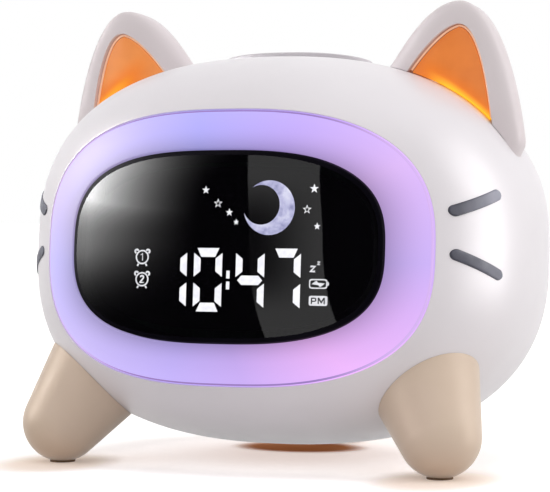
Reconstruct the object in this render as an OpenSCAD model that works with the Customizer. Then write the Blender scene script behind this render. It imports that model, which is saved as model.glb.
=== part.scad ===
// Kids alarm clock with night light: a cat-head case on two front legs and a rear foot.
// Row frame: X to the right, Y to the back, Z up, origin on the ground under the head.
// Head frame: origin at the head's centre, same directions, pitched back by head_tilt.

/* [Head] */
// Width of the head
head_w = 140; // [134:1:148]
// Depth of the head from front to back
head_d = 114; // [110:1:120]
// Height of the head
head_h = 105.5; // [102:0.5:110]
// Squareness of the head seen from the front and from above, where 2 is an ellipse
head_n = 2.4; // [2.3:0.05:2.6]
// Squareness of the head's side profile
head_m = 2.7; // [2.6:0.05:2.9]
// Thickness of the shells
wall = 2.4; // [2:0.1:2.8]
// How far the face looks up, in degrees
head_tilt = 4.5; // [2:0.5:7]
// Gap between the head's belly and the ground
belly_gap = 3.6; // [3:0.2:6]
// Distance of the seam between the shells behind the head's centre
seam_y = 30; // [28:0.5:32]
// Length of the lip that locates the rear shell
lip_l = 3; // [2:0.5:4]

/* [Face] */
// Outer width of the light ring
ring_w = 108; // [104:1:110]
// Outer height of the light ring
ring_h = 71; // [68:1:73]
// Thickness of the light ring
ring_t = 2.5; // [2:0.1:2.8]
// Width of the display lens
lens_w = 86; // [84:1:88]
// Height of the display lens
lens_h = 49; // [47:0.5:51]
// Thickness of the display lens
lens_t = 2; // [1.6:0.1:2.4]
// How far the face sits below the head's centre
face_drop = 1.7; // [1:0.1:2.4]
// Gap round the ring and the lens
face_gap = 0.25; // [0.2:0.05:0.35]
// Width of the flanges that hold the ring and the lens from behind
flange_w = 2.2; // [1.6:0.1:2.4]
// Thickness of those flanges
flange_t = 1.2; // [1:0.1:1.5]

/* [Display] */
// Height of a digit
digit_h = 16.4; // [15:0.2:17]
// Width of a digit
digit_w = 7.9; // [7.6:0.1:8.2]
// Stroke width of a digit
digit_stroke = 1.9; // [1.5:0.1:2.2]
// Distance between two digits of a pair
digit_pitch = 9.9; // [9.7:0.1:10.3]
// Distance between the two middle digits
colon_pitch = 11.7; // [11.4:0.1:12.4]
// Height of the digits' middle below the head's centre
digit_drop = 9.9; // [9:0.1:10.4]
// Number of lamps behind the ring
ring_lamps = 24; // [16:2:28]

/* [Ears] */
// Distance of an ear's tip from the middle
ear_x = 48.4; // [46:0.2:50]
// Height of an ear's tip above the head's centre
ear_z = 66.9; // [65.4:0.5:68.4]
// Depth of an ear from front to back at its base
ear_d = 14; // [13:0.5:16]
// How far an ear's tip sits in front of the head's centre
ear_forward = 5.6; // [4:0.4:7.2]
// Thickness of the amber ear windows
window_t = 1.6; // [1.2:0.1:2]

/* [Legs] */
// Distance of a front foot from the middle
foot_x = 53.4; // [50:0.5:56]
// Distance of a front foot in front of the head's centre
foot_forward = 35; // [32:0.5:37]
// Radius of a front foot
foot_r = 10.7; // [10:0.1:11.4]
// How a leg widens towards the head, in degrees
leg_flare = 12.5; // [9:0.5:14]
// Distance of the rear foot behind the head's centre
rear_foot_y = 38; // [36:0.5:40]
// Radius of the rear foot
rear_foot_r = 9; // [8:0.5:10]
// Radius of the soft pads under the feet
pad_r = 3.4; // [3:0.1:3.8]
// Radius of the pegs that join the legs to the head
peg_r = 5; // [4.5:0.1:5.5]

/* [Top bar] */
// Width of the snooze and light bar
bar_w = 42; // [38:0.5:42]
// Depth of the bar
bar_d = 27; // [24:0.5:28]
// How far the bar stands out of the head
bar_rise = 1.3; // [0.7:0.1:1.4]
// How far the bar can be pressed
bar_travel = 0.6; // [0.4:0.1:0.6]

/* [Rear controls] */
// Width of the rear panel
panel_w = 84; // [80:1:86]
// Height of the rear panel
panel_h = 40; // [39.6:0.2:42]
// Thickness of the rear panel
panel_t = 2; // [1.6:0.1:2.4]
// Distance of the panel's outer face behind the head's centre
panel_y = 48.5; // [47.5:0.25:49]
// Radius of a rear button
button_r = 3.6; // [3:0.1:4]
// How far a rear button stands out of the panel
button_rise = 1.2; // [0.8:0.1:1.6]
// How far a rear button can be pressed
button_travel = 0.5; // [0.3:0.1:0.6]
// Distance between two rear buttons
button_pitch = 16; // [14:0.5:17]
// How far the power slider moves
slider_travel = 3; // [2:0.25:3.5]

/* [Inside] */
// Thickness of the circuit boards
board_t = 1.6; // [1:0.1:1.8]
// Radius of the battery cell
cell_r = 9.25; // [9:0.05:9.3]
// Length of the battery cell
cell_l = 65; // [62:0.5:66]
// Radius of the speaker
speaker_r = 9; // [8:0.25:9.5]
// Radius of a lead
lead_r = 0.6; // [0.4:0.1:0.8]

/* [Hidden] */

$fn = 64;
eps = 0.01;
facets = 72;                     // points round a head outline
fit = 0.15;                      // clearance between two fixed pieces
play = 0.05;                     // clearance of a screw or a sliding pin in its hole
rest_gap = 0.35;                 // least gap that a pressed piece keeps
head_z = head_h / 2 + belly_gap; // height of the head's centre
ring_e = 2.7;                    // squareness of the ring's outline
lens_e = 2.8;                    // squareness of the lens's outline
panel_e = 3.2;                   // squareness of the rear panel's outline
bar_e = 2.3;                     // squareness of the bar's outline
lip_in = 1.1;                    // how deep inside the surface the lip starts

case_white = "#e7e3e8";
ring_milk = "#cfc4ff";
lens_black = "#15151a";
board_green = "#2f6b45";
inner_white = "#f2f2f0";
amber = "#e8894a";
leg_beige = "#cdb59d";
slate = "#56586a";
steel = "#b9bcc2";
soft_grey = "#8b8a90";
dark_plastic = "#2b2b30";

// ---- The head's surface ----

function spow(v, p) = sign(v) * pow(abs(v), p);
function unit(v) = v / norm(v);
function mix(a, b, t) = a + (b - a) * t;
function reversed(list) = [for (i = [len(list) - 1:-1:0]) list[i]];

// Half sizes of the surface that lies a depth d inside the head
function half_w(d) = head_w / 2 - d;
function half_d(d) = head_d / 2 - d;
function half_h(d) = head_h / 2 - d;

function head_value(p, d) =
    let(profile = pow(abs(p.y) / half_d(d), head_m) + pow(abs(p.z) / half_h(d), head_m))
    pow(abs(p.x) / half_w(d), head_n) + pow(profile, head_n / head_m);
function on_head(p, d) = p * pow(head_value(p, d), -1 / head_n);

// The surface's Y at an x and z, its Z at an x and y, and its X at a y and z
function across(x, d) = pow(max(0, 1 - pow(abs(x) / half_w(d), head_n)), head_m / head_n);
function head_y(x, z, d) =
    half_d(d) * pow(max(0, across(x, d) - pow(abs(z) / half_h(d), head_m)), 1 / head_m);
function head_top(x, y, d) =
    half_h(d) * pow(max(0, across(x, d) - pow(abs(y) / half_d(d), head_m)), 1 / head_m);
function head_side(y, z, d) =
    let(profile = pow(abs(y) / half_d(d), head_m) + pow(abs(z) / half_h(d), head_m))
    half_w(d) * pow(max(0, 1 - pow(profile, head_n / head_m)), 1 / head_n);

// ---- Outlines and the rows of points that shells are lofted through ----

function oval(w, h, e, rise = 0) = [
    for (i = [0:facets - 1])
        let(a = 360 * i / facets)
            [w / 2 * spow(cos(a), 2 / e), h / 2 * spow(sin(a), 2 / e) + rise]
];
function mix_outline(a, b, t) = [for (i = [0:len(a) - 1]) mix(a[i], b[i], t)];
function shrink(outline, k) = [for (p = outline) [p.x * k, (p.y + face_drop) * k - face_drop]];

function front_row(outline, d) = [for (p = outline) [p.x, -head_y(p.x, p.y, d), p.y]];
function back_row(outline, d) = [for (p = outline) [p.x, head_y(p.x, p.y, d), p.y]];
function top_row(outline, d) = [for (p = outline) [p.x, p.y, head_top(p.x, p.y, d)]];
function flat_row(outline, y) = [for (p = outline) [p.x, y, p.y]];
function seam_row(y, d) = [
    for (i = [0:facets - 1])
        let(
            a = 360 * i / facets,
            z = head_top(0, y, d) * spow(sin(a), 0.75),
            x = (abs(cos(a)) < eps ? 0 : sign(cos(a)) * head_side(y, z, d))
        ) [x, y, z]
];
function skin_rows(from, to, d, n) = [
    for (k = [0:n]) [
        for (i = [0:len(from) - 1]) on_head(mix(unit(from[i]), unit(to[i]), k / n), d)
    ]
];

// A closed solid through rows of points: a ring of rows, or rows closed by two tips
module loft(rows, tips = []) {
    n = len(rows);
    s = len(rows[0]);
    closed = len(tips) == 0;
    points = concat([for (row = rows) each row], tips);
    bands = [
        for (i = [0:(closed ? n - 1 : n - 2)], j = [0:s - 1])
            let(
                a = i * s + j,
                b = i * s + (j + 1) % s,
                c = ((i + 1) % n) * s + (j + 1) % s,
                d = ((i + 1) % n) * s + j
            ) each [[a, b, c], [a, c, d]]
    ];
    caps = closed ? [] : [
        for (j = [0:s - 1])
            each [
                [n * s, (j + 1) % s, j],
                [n * s + 1, (n - 1) * s + j, (n - 1) * s + (j + 1) % s]
            ]
    ];
    polyhedron(points, concat(bands, caps), convexity = 8);
}

// The whole head as one solid, a depth d inside its surface
module head_solid(d) {
    turns = 48;
    steps = 24;
    rows = [
        for (k = [1:steps - 1])
            let(f = 180 * k / steps) [
                for (i = [0:turns - 1])
                    let(a = 360 * i / turns)
                        on_head([sin(f) * cos(a), -cos(f), sin(f) * sin(a)], d)
            ]
    ];
    loft(rows, [[0, -half_d(d), 0], [0, half_d(d), 0]]);
}

// The part of the head round a direction, as a solid from its centre to its surface
module head_patch(towards, d) {
    axis = unit(towards);
    side = unit(cross(axis, [0, 1, 0.3]));
    up = cross(side, axis);
    rows = [
        for (k = [9:-1:1])
            let(f = 3.6 * k) [
                for (i = [0:35])
                    let(a = 10 * i)
                        on_head(axis * cos(f) + (side * cos(a) + up * sin(a)) * sin(f), d)
            ]
    ];
    loft(rows, [[0, 0, 0], on_head(axis, d)]);
}

module in_head() translate([0, 0, head_z]) rotate([-head_tilt, 0, 0]) children();
module inside_head() intersection() {
    union() children();
    head_solid(wall / 2);
}
module both_sides() {
    children();
    mirror([1, 0, 0]) children();
}

// A flat outline extruded from y0 to y1, and a round rod along Y
module slab(y0, y1) translate([0, y1, 0]) rotate([90, 0, 0]) linear_extrude(y1 - y0) children();
module rod(x, z, r, y0, y1) translate([x, y1, z]) rotate([90, 0, 0]) cylinder(r = r, h = y1 - y0);
module tube_slab(outer, inner, y0, y1) slab(y0, y1) difference() {
    polygon(outer);
    polygon(inner);
}
module block(x, y, z, size) translate([x, y, z]) translate(-size / 2) cube(size);

// A pan-head screw with its shank down from the origin and its head above it
module screw(r, l, head_r, head_h) {
    slot = head_r * 1.3;
    difference() {
        union() {
            translate([0, 0, -l]) cylinder(r = r, h = l + eps);
            cylinder(r = head_r, h = head_h);
        }
        for (turn = [0, 90]) rotate([0, 0, turn]) block(0, 0, head_h, [slot, head_r * 0.3, head_h]);
    }
}
module screw_to_front(x, z, y, r, l, head_r, head_h)
    translate([x, y, z]) rotate([-90, 0, 0]) screw(r, l, head_r, head_h);

// ---- Depths of the layers behind the face, along Y in the head frame ----

film_y = 10.4 - head_d / 2;          // front of the display film
film_t = 0.4;
block_t = 11.7;                      // thickness of the block behind the film
board_y = film_y + film_t + block_t; // front of the face board
frame_y = board_y + board_t + 5.9;   // front of the face frame's plate
frame_t = 2.4;
main_y = frame_y + frame_t + 4.6;    // front of the main board
ring_back = wall + face_gap + flange_t;
lens_back = ring_t + face_gap + flange_t;

ring_outline = oval(ring_w, ring_h, ring_e, -face_drop);
lens_outline = oval(lens_w, lens_h, lens_e, -face_drop);
window_outline = oval(lens_w - 7, lens_h - 7, lens_e, -face_drop);
board_outline = oval(ring_w - 7, ring_h - 4, ring_e, -face_drop);
function grown(w, h, e, by) = oval(w + 2 * by, h + 2 * by, e, -face_drop);

// Frame screws: above and below the face
frame_screw_x = 18;
frame_screw_top = ring_h / 2 + 3.5;
frame_screw_low = -ring_h / 2 - 7;
frame_boss_r = 2.8;
frame_screws_at = [for (x = [-1, 1], z = [frame_screw_top, frame_screw_low]) [x * frame_screw_x, z]];

// Case screws: through the rear shell's shoulders
case_screw_x = 51;
case_screw_z = 21;
case_screw_seat = seam_y + 4;
case_boss_r = 4.2;
case_screws_at = [for (x = [-1, 1], z = [-1, 1]) [x * case_screw_x, z * case_screw_z]];

// ---- Shells ----

module case_bosses() {
    for (p = case_screws_at) {
        rod(p.x, p.y, case_boss_r, seam_y - 18, seam_y);
        side = sign(p.x);
        block(p.x + side * 9, seam_y - 11, p.y, [18, 14, 2]);
    }
}
module frame_bosses() for (p = frame_screws_at) rod(p.x, p.y, frame_boss_r, -head_d / 2, frame_y);

bracket_x = 26;                                     // screws of the bracket under the bar
bar_back = wall + 0.3 + flange_t;                   // depth of the bar's flange
bar_under = head_h / 2 - bar_back;                  // underside of the bar at its middle
stem_l = 3;
switch_bore = 3.1;                                  // depth of the bore in a switch's body
plunger_r = 1.7;
switch_h = 3.5;
switch_w = 6;
plunger_l = switch_bore;
switch_gap = bar_travel + rest_gap;
snooze_switch_z = bar_under - stem_l - switch_gap - switch_h;
snooze_board_z = snooze_switch_z - board_t;
bracket_t = 2;
bracket_z = snooze_board_z - bracket_t;
module bracket_bosses() both_sides() translate([bracket_x, 0, bracket_z + bracket_t])
    cylinder(r = 2.8, h = head_h / 2);

cell_y = 2;
cell_z = -head_h / 2 + wall + cell_r + 7.6;
cradle_t = 2.2;
cradle_z = cell_z - cell_r - fit - cradle_t;        // underside of the cradle
cradle_screw_x = 18;
module cradle_bosses() both_sides() translate([cradle_screw_x, cell_y, -head_h / 2])
    cylinder(r = 3, h = head_h / 2 + cradle_z);

// Legs: an axis from each front foot up and back into the head
foot_z = foot_r;
leg_lean = [-0.53, 0.645, 1];
leg_dir = unit(leg_lean);
sleeve_r = 8;
washer_t = 1;
washer_room = 3.5;                                  // from the washer's middle to the shell
// Where a sleeve ends, along its leg from the foot's centre: the first place that clears the shell
function inner_leg(l) =
    let(
        p = [foot_x, -foot_forward, foot_z - head_z] + leg_dir * l,
        y = p.y * cos(head_tilt) - p.z * sin(head_tilt),
        z = p.y * sin(head_tilt) + p.z * cos(head_tilt)
    ) head_value([p.x, y, z], wall + washer_room);
sleeve_end = [for (l = [19:0.5:60]) if (inner_leg(l) < 1) l][0];
module on_leg() {
    tip = acos(leg_dir.z);
    heading = atan2(leg_dir.y, leg_dir.x);
    translate([foot_x, -foot_forward, foot_z]) rotate([0, 0, heading]) rotate([0, tip, 0]) children();
}
// Children placed in the row frame, for use inside the head frame
module from_row() rotate([head_tilt, 0, 0]) translate([0, 0, -head_z]) children();

module front_shell() {
    outer = skin_rows(front_row(ring_outline, 0), seam_row(seam_y, 0), 0, 10);
    lip_end = seam_y - lip_l - face_gap;
    inner = skin_rows(front_row(ring_outline, wall), seam_row(lip_end, wall), wall, 9);
    groove = [seam_row(seam_y, lip_in), seam_row(lip_end, lip_in)];
    color(case_white) in_head() difference() {
        union() {
            loft(concat(outer, groove, reversed(inner)));
            inside_head() {
                case_bosses();
                frame_bosses();
                bracket_bosses();
                cradle_bosses();
                from_row() both_sides() on_leg() translate([0, 0, 6])
                    cylinder(r = sleeve_r, h = sleeve_end - 6);
            }
        }
        for (p = case_screws_at) rod(p.x, p.y, 1.1 + play, seam_y - 12, seam_y + 1);
        for (p = frame_screws_at) rod(p.x, p.y, 0.9 + play, frame_y - 6.5, frame_y + 1);
        both_sides() translate([bracket_x, 0, bracket_z]) cylinder(r = 0.9 + play, h = 7.5);
        both_sides() translate([cradle_screw_x, cell_y, cradle_z - 4]) cylinder(r = 0.9 + play, h = 5);
        from_row() both_sides() on_leg() cylinder(r = peg_r + fit, h = sleeve_end + 1);
        both_sides() ear_bores(1.2, -7, 3);
        both_sides() ear_wire_bore();
        translate([0, 0, head_h / 4]) linear_extrude(head_h / 2)
            polygon(oval(bar_w + 0.7, bar_d + 0.7, bar_e));
    }
}

// ---- Rear shell and its panel ----

panel_ledge = 3;
panel_outline = oval(panel_w, panel_h, panel_e);
panel_screw_x = panel_w / 2 - 5.2;
rear_peg_r = 3.6;
rear_boss_z = 19;                                   // height of the rear foot's boss above the ground
module at_rear_foot() translate([0, rear_foot_y, 0]) children();

module rear_shell() {
    outer = skin_rows(back_row(panel_outline, 0), seam_row(seam_y, 0), 0, 8);
    cup = oval(panel_w + 2 * wall, panel_h + 2 * wall, panel_e);
    ledge = oval(panel_w - 2 * panel_ledge, panel_h - 2 * panel_ledge, panel_e);
    seat = panel_y - panel_t;
    lip = [
        seam_row(seam_y, lip_in + fit), seam_row(seam_y - lip_l, lip_in + fit),
        seam_row(seam_y - lip_l, wall)
    ];
    inner = skin_rows(back_row(cup, wall), seam_row(seam_y, wall), wall, 7);
    cup_rows = [
        flat_row(cup, seat - wall), flat_row(ledge, seat - wall), flat_row(ledge, seat),
        flat_row(panel_outline, seat)
    ];
    color(case_white) in_head() difference() {
        union() {
            loft(reversed(concat(outer, lip, reversed(inner), cup_rows)));
            inside_head() {
                for (p = case_screws_at) rod(p.x, p.y, 5, seam_y, head_d / 2);
                from_row() at_rear_foot() cylinder(r = 6.5, h = rear_boss_z);
            }
            for (side = [-1, 1]) rod(side * panel_screw_x, 0, 2.6, seat - 7, seat - eps);
        }
        for (p = case_screws_at) {
            rod(p.x, p.y, 1.6, seam_y - 1, head_d / 2);
            rod(p.x, p.y, 3.1, case_screw_seat, head_d / 2);
        }
        for (side = [-1, 1]) rod(side * panel_screw_x, 0, 0.9 + play, seat - 6.5, seat + 1);
        from_row() at_rear_foot() cylinder(r = rear_peg_r + fit, h = rear_boss_z + 1);
    }
}

button_z = panel_h / 2 - 11.5;
low_z = -8.5;                                       // height of the socket and the slider
usb_x = 26;
slider_x = -26;
speaker_wall = 1.2;
speaker_z = panel_ledge - panel_h / 2 + speaker_r + fit + speaker_wall + 0.5;
key_switch_y = panel_y + button_rise - 10.5 + 0.6;  // top of a key switch's body
key_board_y = key_switch_y - switch_h - board_t;    // front of the key board
key_post = [31, 3];
function button_x(i) = (i - 1.5) * button_pitch;

module grille_holes() {
    for (ring = [[1, 0], [6, 3.1], [12, 6.2]], k = [0:ring[0] - 1])
        let(a = 360 * k / ring[0])
            rod(ring[1] * cos(a), speaker_z + ring[1] * sin(a), 0.85, panel_y - panel_t - 1, panel_y + 1);
}
module slot_bar(w, h, y0, y1) {
    block(0, (y0 + y1) / 2, 0, [w - h, y1 - y0, h]);
    for (side = [-1, 1]) rod(side * (w - h) / 2, 0, h / 2, y0, y1);
}
module back_panel() {
    inside = panel_y - panel_t;
    color("#dcd7dc") in_head() difference() {
        union() {
            slab(inside, panel_y) polygon(oval(panel_w - 2 * fit, panel_h - 2 * fit, panel_e));
            difference() {
                rod(0, speaker_z, speaker_r + fit + speaker_wall, inside - 4.5, inside + eps);
                rod(0, speaker_z, speaker_r + fit, inside - 5, inside);
            }
            for (side = [-1, 1]) rod(side * key_post.x, key_post.y, 2.2, key_board_y + board_t, inside + eps);
        }
        for (i = [0:3]) rod(button_x(i), button_z, button_r + 0.3, inside - 1, panel_y + 1);
        for (side = [-1, 1]) {
            rod(side * panel_screw_x, 0, 1.15, inside - 1, panel_y + 1);
            rod(side * panel_screw_x, 0, 2.3, panel_y - 1, panel_y + 1);
            rod(side * key_post.x, key_post.y, 0.8 + play, key_board_y, key_board_y + board_t + 5.5);
        }
        translate([usb_x, 0, low_z]) slot_bar(9.6, 3.9, inside - 1, panel_y + 1);
        translate([slider_x, 0, low_z]) block(0, panel_y, 0, [slider_travel + 4.6, 8, 3.4]);
        grille_holes();
    }
}

// ---- Face ----

module light_ring() {
    out = grown(ring_w, ring_h, ring_e, -face_gap);
    in = grown(lens_w, lens_h, lens_e, face_gap);
    flange = grown(ring_w, ring_h, ring_e, flange_w);
    rows = concat(
        [for (k = [0:5]) front_row(mix_outline(out, in, k / 5), 0)],
        [for (k = [5:-1:1]) front_row(mix_outline(out, in, k / 5), ring_t)],
        [
            front_row(mix_outline(out, in, 0.15), ring_back), front_row(flange, ring_back),
            front_row(flange, wall + face_gap), front_row(out, wall + face_gap)
        ]
    );
    color(ring_milk) in_head() loft(reversed(rows));
}
module display_lens() {
    flange = grown(lens_w, lens_h, lens_e, flange_w);
    rows = concat(
        [for (k = [0.2:0.2:1]) front_row(shrink(lens_outline, k), 0)],
        [
            front_row(lens_outline, ring_t + face_gap), front_row(flange, ring_t + face_gap),
            front_row(flange, lens_back), front_row(shrink(lens_outline, 0.97), lens_back)
        ],
        [for (k = [0.92, 0.7, 0.45, 0.2]) front_row(shrink(lens_outline, k), lens_t)]
    );
    middle = -face_drop;
    color(lens_black) in_head() loft(rows, [
        [0, -head_y(0, middle, 0), middle], [0, -head_y(0, middle, lens_t), middle]
    ]);
}
module lens_bezel() {
    out = grown(lens_w, lens_h, lens_e, flange_w);
    in = grown(lens_w, lens_h, lens_e, -1.2);
    depth = lens_back + fit;
    color(dark_plastic) in_head() loft([
        front_row(in, depth), front_row(out, depth), flat_row(out, board_y), flat_row(in, board_y)
    ]);
}
module ring_reflector() {
    front_out = grown(ring_w, ring_h, ring_e, 0.6);
    front_in = grown(ring_w, ring_h, ring_e, -0.8);
    back_out = grown(ring_w - 7, ring_h - 4, ring_e, 0);
    back_in = grown(ring_w - 7, ring_h - 4, ring_e, -1.3);
    depth = ring_back + fit;
    color(inner_white) in_head() loft([
        front_row(front_in, depth), front_row(front_out, depth), flat_row(back_out, board_y),
        flat_row(back_in, board_y)
    ]);
}
digit_shift = 0.5;                                  // the digits' middle to the right of the head's
module display_film() color("#1b1b26") in_head()
    slab(film_y, film_y + film_t) polygon(window_outline);

// The seven strokes of a digit: slanted bars round it and a pointed bar across it
module digit_strokes() {
    x = digit_w / 2;
    z = digit_h / 2;
    t = digit_stroke;
    for (i = [-1, 1], k = [-1, 1]) scale([i, k])
        polygon([[x, 0.8], [x, z - 1.3], [x - t, z - 2.7], [x - t, 2.2]]);
    for (k = [-1, 1]) scale([1, k])
        polygon([[0.9 - x, z], [x - 0.9, z], [x - 2, z - 1.2 * t], [2 - x, z - 1.2 * t]]);
    polygon([[0.5 - x, 0], [1.6 - x, 1.2], [x - 1.6, 1.2], [x - 0.5, 0], [x - 1.6, -1.2], [1.6 - x, -1.2]]);
}
module all_digits() {
    for (side = [-1, 1], k = [0, 1])
        translate([digit_shift + side * (colon_pitch / 2 + k * digit_pitch), -digit_drop]) digit_strokes();
    for (k = [-1, 1]) translate([digit_shift, k * 1.4 - digit_drop])
        square([0.9, 2], center = true);
}
module display_block() color(inner_white) in_head() slab(film_y + film_t, board_y) difference() {
    polygon(window_outline);
    all_digits();
}
module digit_guides() color("#f7f7ff") in_head() slab(film_y + film_t, board_y - 1.2) all_digits();
module face_board() color(board_green) in_head() slab(board_y, board_y + board_t) polygon(board_outline);
module ring_lamps() {
    in = grown(lens_w, lens_h, lens_e, flange_w);
    out = grown(ring_w - 7, ring_h - 4, ring_e, -1.3);
    track = mix_outline(in, out, 0.5);
    size = 2.8 * ((ring_h - lens_h) / 2 - 5.5) / 5.5;   // half of the trough's width
    color("#f4f1d8") in_head() for (k = [0:ring_lamps - 1]) {
        p = track[round(k * facets / ring_lamps) % facets];
        block(p.x, board_y - 0.7, p.y, [size, 1.4, size]);
    }
}
module face_frame() {
    in = grown(ring_w - 7, ring_h - 4, ring_e, -1.6);
    color(inner_white) in_head() difference() {
        union() {
            tube_slab(board_outline, in, board_y + board_t, frame_y + eps);
            slab(frame_y, frame_y + frame_t) polygon(board_outline);
            for (p = frame_screws_at) {
                rod(p.x, p.y, frame_boss_r + 0.2, frame_y, frame_y + frame_t);
                block(p.x, frame_y + frame_t / 2, p.y * 0.83, [6.4, frame_t, abs(p.y) * 0.34]);
            }
            for (p = main_posts) rod(p.x, p.y, 2.5, frame_y, main_y);
        }
        for (p = frame_screws_at) rod(p.x, p.y, 1.15, frame_y - 1, frame_y + frame_t + 1);
        for (p = main_posts) rod(p.x, p.y, 0.8 + play, main_y - 5, main_y + 1);
        block(0, frame_y, 22, [14, 8, 5]);
    }
}
module frame_screws() color(steel) in_head() for (p = frame_screws_at)
    screw_to_front(p.x, p.y, frame_y + frame_t, 0.9, frame_t + 6, 1.9, 1.3);

main_size = [66, 40];
main_posts = [for (x = [-1, 1], z = [-1, 1]) [x * 29, z * 16]];
module main_board() color(board_green) in_head() difference() {
    block(0, main_y + board_t / 2, 0, [main_size.x, board_t, main_size.y]);
    for (p = main_posts) rod(p.x, p.y, 1.1, main_y - 1, main_y + board_t + 1);
}
module main_board_parts() color(dark_plastic) in_head() {
    top = main_y + board_t;
    block(-14, top + 0.8, 6, [9, 1.6, 9]);
    block(12, top + 0.7, -8, [7, 1.4, 5]);
    block(18, top + 2, 9, [5, 4, 4]);
    block(0, top + 1.5, 15, [14, 3, 4]);
    rod(-22, -10, 3, top, top + 6);
}
module board_screws() color(steel) in_head() {
    for (p = main_posts) screw_to_front(p.x, p.y, main_y + board_t, 0.8, board_t + 4.5, 1.8, 1.2);
    for (side = [-1, 1]) translate([side * key_post.x, key_board_y, key_post.y]) rotate([90, 0, 0])
        screw(0.8, board_t + 4.5, 1.8, 1.2);
}

// ---- Ears ----

// Sizes of an ear's two sides: how far each reaches from the tip, and how round it is
ear_outside = [18.2, 44, 2.3, 1.5];
ear_inside = [19.8, 18, 2, 0.9];
window_outside = [9.9, 33, 2.35, 1.5];
window_inside = [17, 16.5, 1.57, 1];
ear_e = 2.8;                                        // squareness of an ear's base
ear_gap = 0.12;                                     // gap between an ear and the head
window_drop = 6;                                  // the window's tip below the ear's tip
window_y = -ear_forward - 4.7;                      // front of an ear window, level with the tip
pocket_y = window_y + window_t + 1.9;               // floor of the pocket behind it
lean = tan(head_tilt);
function leaning(y, z) = y + (ear_z - z) * lean;    // an ear stands upright while the head leans back
module upright() translate([0, -ear_forward, ear_z]) rotate([head_tilt, 0, 0])
    translate([0, ear_forward, -ear_z]) children();
ear_screw_y = leaning(3.6 - ear_forward, head_h / 2 - 6);
ear_wire_y = leaning(pocket_y - 2.2, head_h / 2 - 8);
ear_screws_at = [42, 53];

function side_step(s, t) = [s[0] * pow(sin(t), 2 / s[2]), -s[1] * (1 - pow(cos(t), 2 / s[3]))];
function ear_point(out, t) =
    let(s = side_step(out ? ear_outside : ear_inside, t))
        [ear_x + (out ? 1 : -1) * s[0], ear_z + s[1]];
function ear_ring(s) = [
    for (i = [0:31])
        let(
            a = 360 * i / 32,
            q = (1 + spow(cos(a), 2 / ear_e)) / 2,
            t = 90 * (1 - s),
            p = mix(ear_point(false, t), ear_point(true, t), q),
            base = mix(ear_point(false, 90), ear_point(true, 90), q),
            side = spow(sin(a), 2 / ear_e) * ear_d / 2,
            seat = head_top(base.x, leaning(side - ear_forward, base.y), -ear_gap),
            thin = pow(1 - pow(s, 3), 0.5),
            z = p.y + (1 - s) * (seat - base.y)
        ) [p.x, leaning(side * thin - ear_forward, p.y), z]
];
function ear_floor(k) = [
    for (i = [0:31])
        let(
            a = 360 * i / 32,
            q = (1 + k * spow(cos(a), 2 / ear_e)) / 2,
            base = mix(ear_point(false, 90), ear_point(true, 90), q),
            y = leaning(k * spow(sin(a), 2 / ear_e) * ear_d / 2 - ear_forward, base.y)
        ) [base.x, y, head_top(base.x, y, -ear_gap)]
];
module ear_body() {
    middle = mix(ear_point(false, 90), ear_point(true, 90), 0.5);
    y = leaning(-ear_forward, middle.y);
    rows = concat(
        [for (k = [0.15, 0.35, 0.55, 0.75, 0.9]) ear_floor(k)],
        [for (s = [0, 0.12, 0.25, 0.4, 0.55, 0.7, 0.8, 0.88, 0.94, 0.98]) ear_ring(s)]
    );
    loft(rows, [
        [middle.x, y, head_top(middle.x, y, -ear_gap)], [ear_x, -ear_forward, ear_z]
    ]);
}
function window_side(out, gap) = [
    for (t = [0:7.5:90])
        let(s = side_step(out ? window_outside : window_inside, t))
            [ear_x + 0.7 + (out ? 1 : -1) * max(0, s[0] - gap), ear_z - window_drop + s[1] - gap]
];
module pocket_shape() polygon(concat(window_side(true, 0), reversed(window_side(false, 0))));
function foot_z_at(x) = head_top(x, leaning(window_y, head_h / 2 - 12), -0.4);
function above_head(list) = [for (p = list) if (p.y > foot_z_at(p.x) + 0.2) p];
module window_shape() {
    out = above_head(window_side(true, fit));
    in = above_head(window_side(false, fit));
    x0 = out[len(out) - 1].x;
    x1 = in[len(in) - 1].x;
    foot = [for (k = [0:8]) let(x = mix(x0, x1, k / 8)) [x, foot_z_at(x)]];
    polygon(concat(out, foot, reversed([for (i = [1:len(in) - 1]) in[i]])));
}
// Holes or shanks for an ear's two screws, along the head's normal, from the shell's inside
module at_top(x, y) {
    slope = head_top(x - 0.5, y, 0) - head_top(x + 0.5, y, 0);
    translate([x, y, head_top(x, y, 0)]) rotate([0, atan(slope), 0]) children();
}
module at_ear_screws() for (x = ear_screws_at) at_top(x, ear_screw_y) children();
module ear_bores(r, from, to) at_ear_screws() translate([0, 0, from]) cylinder(r = r, h = to - from);
module ear_wire_bore() at_top(48, ear_wire_y) translate([0, 0, -6]) cylinder(r = 1.4, h = 12);

module ear() in_head() difference() {
    ear_body();
    upright() slab(-head_d, pocket_y) pocket_shape();
    ear_bores(0.9 + play, -1, 8);
}
module ear_window() in_head() upright() slab(window_y, window_y + window_t) window_shape();
module ear_lamp() in_head() upright() {
    z = head_top(48, pocket_y, 0) + 5.4;
    translate([48.5, 0, z]) rotate([0, 32, 0]) {
        block(0, pocket_y - 0.5, 0, [11, 1, 5]);
        block(0, pocket_y - 1.35, 0, [3, 0.7, 2.8]);
    }
}
module right_ear() color(case_white) ear();
module left_ear() color(case_white) mirror([1, 0, 0]) ear();
module right_ear_window() color(amber) ear_window();
module left_ear_window() color(amber) mirror([1, 0, 0]) ear_window();
module right_ear_lamp() color(board_green) ear_lamp();
module left_ear_lamp() color(board_green) mirror([1, 0, 0]) ear_lamp();
module ear_screws() color(steel) in_head() both_sides() at_ear_screws()
    translate([0, 0, -wall - 0.3]) mirror([0, 0, 1]) screw(0.9, 8.5, 1.9, 1.2);

// ---- Whiskers ----

whisker_w = 2.9;
whisker_t = 0.3;
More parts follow.
